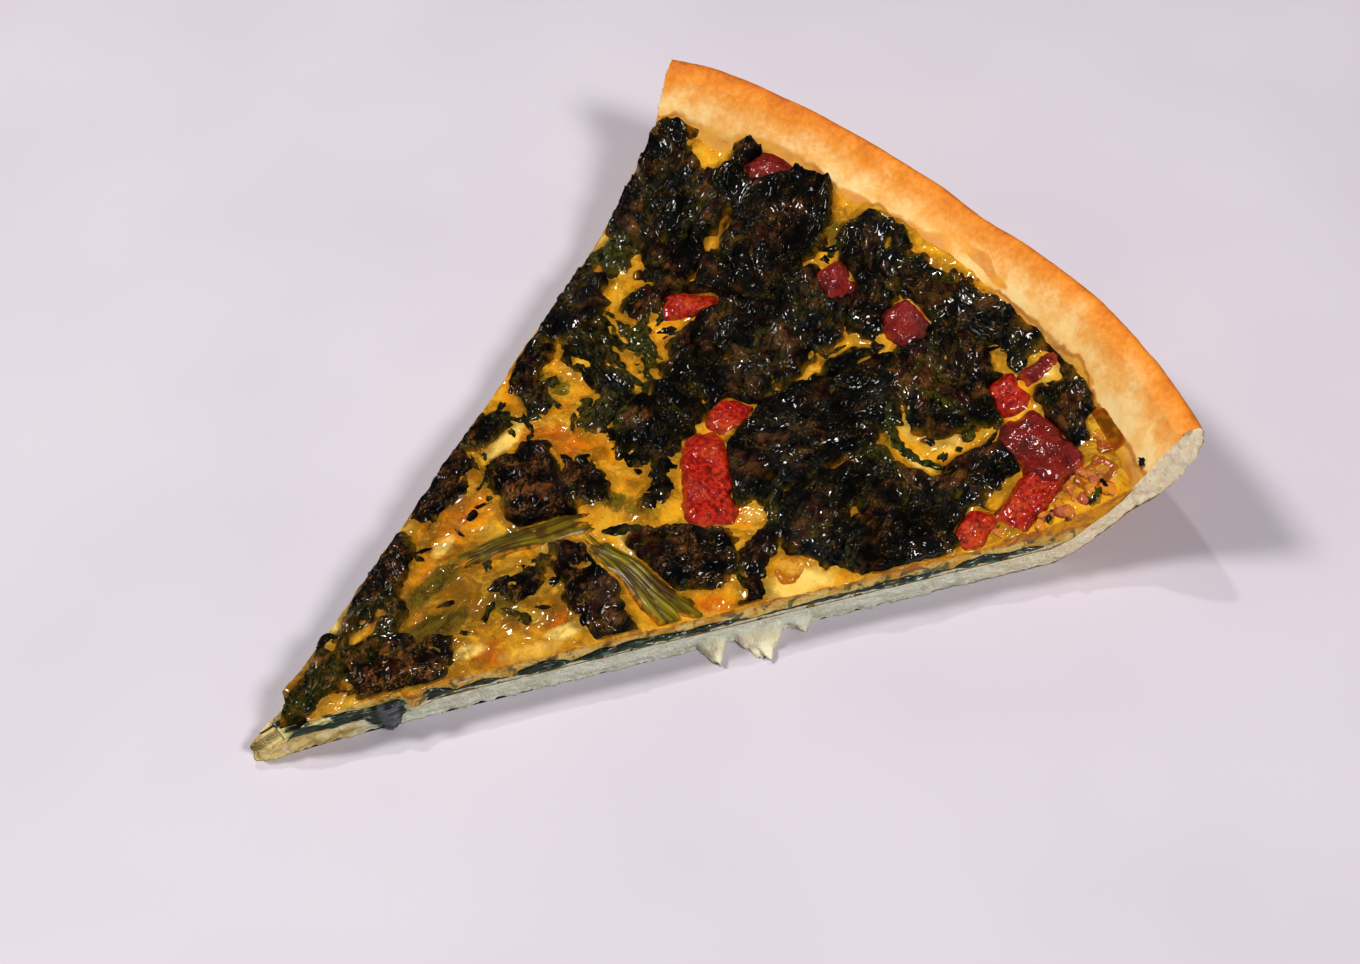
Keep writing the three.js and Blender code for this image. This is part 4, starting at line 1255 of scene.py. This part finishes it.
# Many small lumps in one mesh, each a flattened ball with a noisy skin: sizes are half lengths
def lumpsMesh(x, y, z, sizes, turns, seed, rough):
    rows, sectors = 6, 11
    polar = np.linspace(0, math.pi, rows + 2)[1:-1]
    around = np.linspace(0, 2 * math.pi, sectors, endpoint=False)
    ball = np.stack([np.sin(polar)[:, None] * np.cos(around), np.sin(polar)[:, None] * np.sin(around),
                     np.repeat(np.cos(polar)[:, None], sectors, 1)], -1).reshape(-1, 3)
    ball = np.concatenate([ball, [[0, 0, 1], [0, 0, -1]]])
    bx, by, bz = 2 * ball.T[:, None]
    skin = 1 + rough * noise(bx + x[:, None], by + y[:, None], bz, 1.1, seed)
    points = ball[None] * sizes[:, None, :] * skin[..., None]
    cos, sin = np.cos(turns)[:, None], np.sin(turns)[:, None]
    px, py, pz = np.moveaxis(points, -1, 0)
    turned = px * cos - py * sin + x[:, None], px * sin + py * cos + y[:, None], pz + z[:, None]
    shift = (np.arange(len(x)) * len(ball))[:, None, None]
    quads, tris = ringFaces(rows, sectors)
    faces = [(quads + shift).reshape(-1, 4), (tris + shift).reshape(-1, 3)]
    return np.stack(turned, -1).reshape(-1, 3), faces, len(ball)


# dark scraps at known places: (x, y, half length, half width, turn)
setScraps = [(126.4, -55.6, 2.0, 0.9, 10), (128.6, -55.4, 1.0, 0.7, 60), (133.4, -58.3, 0.9, 0.6, 30),
             (115, -46.2, 1.6, 0.8, 0), (111, -39.5, 1.2, 0.6, 40), (137.4, -43, 0.9, 0.7, 0)]

# strewn ones: how many are tried, how deep under a heap's shore counts as near it, the shares kept near
# and far, and the ranges of half lengths
scraps = {
    "tries": 3600,
    "radius": (12, 130),        # they start at the first, and reach the second further
    "inside": 1.4,
    "near": (-3.0, -0.6),
    "keepNear": 0.09,
    "keepFar": 0.015,
    "long": (0.5, 2.2),
    "wide": (0.3, 1.1),
    "high": (0.22, 0.42),
}


def makeScraps(material):
    chooser = np.random.default_rng(5)
    start, span = scraps["radius"]
    radius = start + span * np.sqrt(chooser.random(scraps["tries"]))
    angle = chooser.uniform(wedge["rightCut"], wedge["leftCut"], scraps["tries"])
    x, y = radius * np.cos(angle), radius * np.sin(angle)
    depth = heapDepth(spinachHeaps, x, y)
    near = (depth > scraps["near"][0]) & (depth < scraps["near"][1])
    keep = chooser.random(len(x)) < np.where(near, scraps["keepNear"], scraps["keepFar"])
    keep &= (insideCuts(x, y) > scraps["inside"]) & (depth < 0.3)
    keep &= coveredBy(baconPieces, x, y, 3.5, 1.0, 1.2) + coveredBy(stemPieces, x, y, 3, 1.0, 1.2) < 0.1
    known = np.array(setScraps)
    count = int(keep.sum())
    x, y = np.concatenate([x[keep], known[:, 0]]), np.concatenate([y[keep], known[:, 1]])
    drawn = [chooser.uniform(*scraps[key], count) for key in ("long", "wide", "high")]
    given = [known[:, 2], known[:, 3], 0.9 * known[:, 3]]
    sizes = np.stack([np.concatenate(pair) for pair in zip(drawn, given)], -1)
    turns = np.concatenate([chooser.uniform(0, math.pi, count), np.radians(known[:, 4])])
    points, faces, each = lumpsMesh(x, y, surfaceHeight(x, y) - 0.1, sizes, turns, 261, 0.85)
    values = {"crest": 0.5, "green": np.repeat(chooser.random(len(x)) ** 2 * 0.9, each),
              "film": np.repeat(chooser.random(len(x)) * 0.6, each), "sheet": 0.5, "scorch": 0.0}
    makePiece("leafScraps", points, faces, material, [], values)
    print("scraps:", len(x))


# Morsels of ham and onion sunk in the custard where the right-hand cut meets the rim: how many, and the
# ranges of their distances from the middle and inside the cut, half lengths, slimness and half heights
morsels = {
    "count": 46,
    "radius": (119, 141),
    "inside": (0.7, 6.5),
    "long": (0.7, 1.9),
    "slim": (0.5, 0.9),
    "high": (0.4, 0.9),
}


def makeMorsels():
    chooser = np.random.default_rng(8)
    radius = chooser.uniform(*morsels["radius"], morsels["count"])
    inside = chooser.uniform(*morsels["inside"], morsels["count"])
    cutLine = np.array([math.cos(wedge["rightCut"]), math.sin(wedge["rightCut"])])
    x, y = (radius[:, None] * cutLine - inside[:, None] * cutNormal(-1)[:2]).T
    keep = (heapDepth(spinachHeaps, x, y) < 0) & (heapDepth(baconPieces, x, y) < 0)
    x, y = x[keep], y[keep]
    lengths, slimness, heights = (chooser.uniform(*morsels[key], len(x)) for key in ("long", "slim", "high"))
    sizes = np.stack([lengths, lengths * slimness, heights], -1)
    turns = chooser.uniform(0, 3, len(x))
    points, faces, each = lumpsMesh(x, y, surfaceHeight(x, y) - 0.25, sizes, turns, 271, 0.45)
    values = {"fat": np.repeat(chooser.random(len(x)), each), "edge": 0.0, "dark": 0.0, "ham": 1.0}
    makePiece("morsels", points, faces, baconMaterial(), [], values)
    print("morsels:", len(x))


def leafMaterial():
    g = Graph("roastLeaf", {"Coat Roughness": 0.06, "Specular IOR Level": 0.06})
    crest, green, film, sheet, scorch = g.stored("crest", "green", "film", "sheet", "scorch")
    soft = g.noise(3.4, 4, 0.6)
    patches = g.noise(7.5, 3, 0.6) + (sheet - 0.5) * 0.08
    broad = g.noise(14, 2, 0.5)
    veins = g.noise(0.9, 4, 0.65, g.stretched((1.6, 1, 1), 30), 0.8)
    grit = g.noise(0.45, 2, 0.6)
    greenness = green * 0.9 + (soft - 0.5) * 0.9 + (patches - 0.5) * 0.9 + (broad - 0.5) * 0.7
    scorched = patches.step(0.46, 0.62) * (crest + (veins - 0.5) * 1.4).step(0.3, 0.9) * (0.7 - green * 0.5)
    scorched = scorched + scorch * veins.step(0.46, 0.62) * soft.step(0.38, 0.58) * 0.8
    creases = (0.5 - crest + (soft - 0.5) * 0.9).step(0.1, 0.5) * (patches + (broad - 0.5)).step(0.44, 0.6)
    edge = (film + (veins - 0.5) * 0.8).step(0.12, 0.5) * soft.step(0.4, 0.6)
    creamed = (film + (veins - 0.5) * 0.9 + (soft - 0.5) * 0.9).step(0.45, 1.1)
    colour = g.over(
        (2, 1, 1),
        (soft.step(0.35, 0.65), (20, 17, 8)),
        (greenness.step(0.1, 0.7), g.mix(veins.step(0.35, 0.65), (16, 22, 4), (82, 80, 12))),
        (scorched, g.mix(soft.step(0.35, 0.65), (62, 18, 6), (134, 84, 40))),
        # painted sheen: broad grey-blue patches stand for light reflected off the wet leaves
        (broad.step(0.5, 0.64) * veins.step(0.45, 0.62) * 0.45, (50, 56, 56)),
        (grit.step(0.56, 0.7) * soft.step(0.46, 0.62) * 0.7, (148, 108, 52)),
        (creases * 0.6, (116, 80, 8)),
        (edge * 0.6, (66, 66, 10)),
        (creamed * 0.9, g.mix(soft.step(0.4, 0.6), (70, 40, 2), (152, 100, 8))),
    )
    satin = (g.noise(6, 3, 0.6) + (sheet - 0.5) * 0.12).step(0.46, 0.6)
    relief = g.bump((veins * 0.9 + grit * 0.3) * (1 - satin * 0.35), 0.6, 1.0)
    return g.finish(Base_Color=colour, Roughness=0.55 + soft * 0.3, Coat_Weight=0.12 + satin * 0.75,
                    Normal=relief)


# numbers of the bacon pieces that roasted darker
darkBacon = (4, 5, 6, 8, 9)


def makeBacon():
    material = baconMaterial()
    total = 0
    for number, spot in enumerate(baconPieces, 1):
        seed = 900 + number * 13

        def inside(x, y):
            waves = 0.6 * noise(x, y, number, 3.4, 890) + 0.3 * noise(x, y, number, 1.5, 893)
            return depthIn(spot, x, y, baconShape["squareness"], waves - 0.1)

        def top(x, y):
            depth = inside(x, y)
            lumps = 0.85 + 0.5 * layered(x, y, 0, 5.5, seed, 3, 0.45)
            grain = np.abs(layered(x, y, 0, 1.4, seed + 3, 3, 0.6))
            bank = step(depth, -0.6, 1.3) ** 0.7
            return bank * (spot[5] * 0.68 * lumps + 0.3 * grain) - 0.9 * (1 - step(depth, -1.2, 0.2))

        def numbersAt(x, y):
            fat = 0.5 + 0.5 * layered(x, y, 0, 5, seed + 6, 3)
            edge = 1 - step(inside(x, y), 0.0, 1.3)
            return {"fat": fat, "edge": edge, "dark": float(number in darkBacon), "ham": 0.0}

        total += makeMound("bacon", "bacon", number, spot, baconShape, material, top, numbersAt)
    print("bacon:", total, "points")


def baconMaterial():
    g = Graph("friedBacon", {"Coat Weight": 0.4, "Coat Roughness": 0.1, "Specular IOR Level": 0.2})
    fat, edge, dark, ham = g.stored("fat", "edge", "dark", "ham")
    grain = g.noise(0.8, 4, 0.65)
    soft = g.noise(3, 3, 0.5)
    colour = g.over(
        (124, 8, 2),
        (grain.step(0.35, 0.65), (190, 42, 14)),
        (soft.step(0.42, 0.3) * 0.7, (84, 4, 2)),
        ((fat + (grain - 0.5) * 0.9).step(0.42, 0.9) * 0.8, (196, 84, 20)),
        (dark * 0.8, g.mix(soft.step(0.35, 0.65), (74, 8, 8), (122, 26, 22))),
        (ham * 0.85, g.mix((fat + (grain - 0.5)).step(0.4, 0.6), (184, 108, 76), (206, 142, 44))),
        ((edge + (soft - 0.5) * 1.8).step(0.6, 1.3) * 0.7,
         g.mix(soft.step(0.4, 0.6), (70, 14, 6), (176, 84, 18))),
    )
    relief = g.bump(grain + g.noise(0.35, 2, 0.5) * 0.3, 0.4, 0.8)
    return g.finish(Base_Color=colour, Roughness=0.3 + grain * 0.25, Normal=relief)


# A stalk is flat and lies in the custard: fine ribs run along it, it spreads toward one end, and its
# ends fray out.
def makeStems():
    material = stemMaterial()
    for number, spot in enumerate(stemPieces, 1):
        fan = stemShape["fan"][number - 1]

        def ribs(x, y):
            along, across = onTopping(spot, x, y)
            bent = across + 0.9 * noise(along, 0, number, 9, 950)
            fanned = bent / (1 + fan * along / (spot[2] / 2))
            rib = np.abs(noise(along / 11, fanned, number, 0.95, 953)) ** 0.8
            flank = 1 - np.abs(fanned) / (spot[3] / 2 * 0.92)
            ends = (1 - np.abs(along) / (spot[2] / 2)) * 3 + 0.9 * noise(along / 6, fanned, number, 0.7, 957)
            return along, fanned, rib, np.minimum(flank * 2.2, ends)

        def top(x, y):
            _, fanned, rib, depth = ribs(x, y)
            rise = np.sqrt(np.clip(depth, 0, 1)) * (0.25 + 0.5 * spot[5] * (1 - (fanned / spot[3]) ** 2))
            return rise + 0.3 * rib * step(depth, 0, 0.5) - 0.8 * (1 - step(depth, -0.6, 0.1))

        def numbersAt(x, y):
            along, fanned, rib, depth = ribs(x, y)
            return {"along": along, "across": fanned, "rib": rib, "edge": 1 - step(depth, 0.0, 0.9)}

        makeMound("stem", "stem", number, spot, stemShape, material, top, numbersAt)
    print("stems made")


def stemMaterial():
    g = Graph("leafStem", {"Coat Weight": 0.15, "Coat Roughness": 0.15, "Specular IOR Level": 0.15})
    along, across, rib, edge = g.stored("along", "across", "rib", "edge")
    fibres = g.add("ShaderNodeCombineXYZ", {}, {0: along * 0.07, 1: across, 2: 0.0})
    lines = g.add("ShaderNodeTexNoise", {}, {"Vector": fibres, "Scale": 2.2, "Detail": 4.0}, "Fac")
    spots = g.noise(1.6, 4, 0.6)
    raised = rib * 0.8 + lines * 0.7
    colour = g.over(
        (80, 64, 6),
        (raised.step(0.35, 0.75), (122, 108, 12)),
        (raised.step(0.7, 1.05), (152, 138, 36)),
        (g.noise(4, 3, 0.5).step(0.52, 0.66) * 0.7, (70, 36, 6)),
        ((edge + (spots - 0.5) * 1.4).step(0.35, 1.0) * 0.9,
         g.mix(spots.step(0.4, 0.6), (92, 58, 8), (186, 124, 24))),
    )
    return g.finish(Base_Color=colour, Roughness=0.35 + lines * 0.2, Normal=g.bump(lines, 0.35, 0.8))


# Onion lies as a shallow ring: highest along its edge, lower in the middle. The last piece is pale.
def makeOnions():
    material = onionMaterial()
    for number, spot in enumerate(onionPieces, 1):

        def inside(x, y):
            waves = 0.6 * noise(x, y, number, 3, 965) + 0.4 * noise(x, y, number, 1.2, 967)
            return depthIn(spot, x, y, onionShape["squareness"], waves)

        def top(x, y):
            depth = inside(x, y)
            ring = spot[5] * (0.12 + 0.12 * hump(depth - 0.5, 0.5))
            layers = 0.3 * layered(x, y, 0, 2.0, 970, 3, 0.6)
            return np.sqrt(step(depth, -0.3, 0.9)) * (ring + layers) - 0.8 * (1 - step(depth, -1, 0.3))

        def numbersAt(x, y):
            return {"edge": hump(inside(x, y) - 0.7, 0.75), "pale": float(number == len(onionPieces))}

        makeMound("onion", "onion", number, spot, onionShape, material, top, numbersAt)
    print("onions made")


def onionMaterial():
    g = Graph("amberOnion", {"Coat Weight": 0.4, "Coat Roughness": 0.12, "Specular IOR Level": 0.12})
    edge, pale = g.stored("edge", "pale")
    soft = g.noise(2, 3, 0.5)
    colour = g.over(
        (132, 78, 2),
        (soft.step(0.35, 0.65), (190, 130, 14)),
        ((edge + (soft - 0.5) * 1.6).step(0.5, 1.1) * 0.8, (150, 58, 8)),
        (pale * 0.85, g.mix(soft.step(0.4, 0.6), (216, 166, 66), (180, 118, 26))),
    )
    return g.finish(Base_Color=colour, Roughness=0.25 + soft * 0.15, Normal=g.bump(soft, 0.3, 0.5))


# Stage: floor, light and camera

stage = {"floor": (206, 199, 206), "floorShade": (202, 195, 203), "floorSize": 4.0}

# area lights aimed at the frame's origin: name, place and size in metres, watts and colour
lights = [
    ("key", (-0.6, 0.8, 1.3), 0.3, 16, (1.0, 0.99, 0.97)),
    ("sparkle", (0.2, 0.6, 1.1), 0.05, 2.5, (1.0, 0.99, 0.97)),
    ("fill", (0.1, -1.1, 1.1), 0.35, 15, (0.99, 0.99, 1.0)),
]
world = {"colour": (0.93, 0.92, 0.97, 1), "strength": 0.12}

# the photograph's camera, fitted for a 1360 x 964 frame: pixels of focal length, look and place
camera = {
    "imageWidth": 1360,
    "focalPixels": 2000,
    "sensor": 36.0,
    "elevation": 49.396,
    "azimuth": -38.5,          # which way the look is turned from +Y
    "roll": -2.341,
    "place": (-58.1, -177.8, 266.3),     # millimetres from the middle of the whole quiche
    "clipStart": 0.01,
    "exposure": 0.2,
    "gamma": 0.8,              # the photograph's firm contrast
}


def makeStage():
    mesh = bpy.data.meshes.new("floor")
    half = stage["floorSize"] / 2
    corners = [(-half, -half, 0), (half, -half, 0), (half, half, 0), (-half, half, 0)]
    mesh.from_pydata(corners, [], [(0, 1, 2, 3)])
    floor = bpy.data.objects.new("floor", mesh)
    bpy.context.scene.collection.objects.link(floor)
    g = Graph("paleFloor", {"Roughness": 0.5, "Specular IOR Level": 0.3})
    tone = g.mix(g.noise(60, 2, 0.5).step(0.3, 0.7), stage["floor"], stage["floorShade"])
    mesh.materials.append(g.finish(Base_Color=tone))


def makeLights():
    for name, place, size, watts, colour in lights:
        light = bpy.data.lights.new(name, "AREA")
        light.shape = "RECTANGLE"
        light.size = light.size_y = size
        light.energy = watts
        light.color = colour
        lamp = bpy.data.objects.new(name, light)
        lamp.location = place
        lamp.rotation_euler = (-Vector(place)).to_track_quat("-Z", "Y").to_euler()
        bpy.context.scene.collection.objects.link(lamp)
    studio = bpy.data.worlds.new("studio")
    studio.use_nodes = True
    background = studio.node_tree.nodes["Background"]
    background.inputs["Color"].default_value = world["colour"]
    background.inputs["Strength"].default_value = world["strength"]
    bpy.context.scene.world = studio


def makeCamera():
    elevation, azimuth, roll = (math.radians(camera[key]) for key in ("elevation", "azimuth", "roll"))
    back = Vector((math.sin(azimuth) * math.cos(elevation), -math.cos(azimuth) * math.cos(elevation),
                   math.sin(elevation)))
    right = Vector((math.cos(azimuth), math.sin(azimuth), 0))
    up = back.cross(right)
    rightRolled = math.cos(roll) * right + math.sin(roll) * up
    upRolled = math.cos(roll) * up - math.sin(roll) * right
    lens = bpy.data.cameras.new("camera")
    lens.sensor_width = camera["sensor"]
    lens.lens = camera["sensor"] * camera["focalPixels"] / camera["imageWidth"]
    lens.clip_start = camera["clipStart"]
    view = bpy.data.objects.new("camera", lens)
    place = (np.array(camera["place"]) + quicheMiddle) / 1000
    turned = Matrix((rightRolled, upRolled, back)).transposed().to_4x4()
    view.matrix_world = Matrix.Translation(Vector(place)) @ turned
    bpy.context.scene.collection.objects.link(view)
    bpy.context.scene.camera = view
    viewing = bpy.context.scene.view_settings
    viewing.view_transform = "Standard"
    viewing.exposure = camera["exposure"]
    viewing.gamma = camera["gamma"]


makeCamera()
makeStage()
makeLights()
makeCrust()
makeLeafLayer()
makeCustard()
leaf = leafMaterial()
makeHeaps(leaf)
makeStrips(leaf)
makeScraps(leaf)
makeMorsels()
makeBacon()
makeStems()
makeOnions()
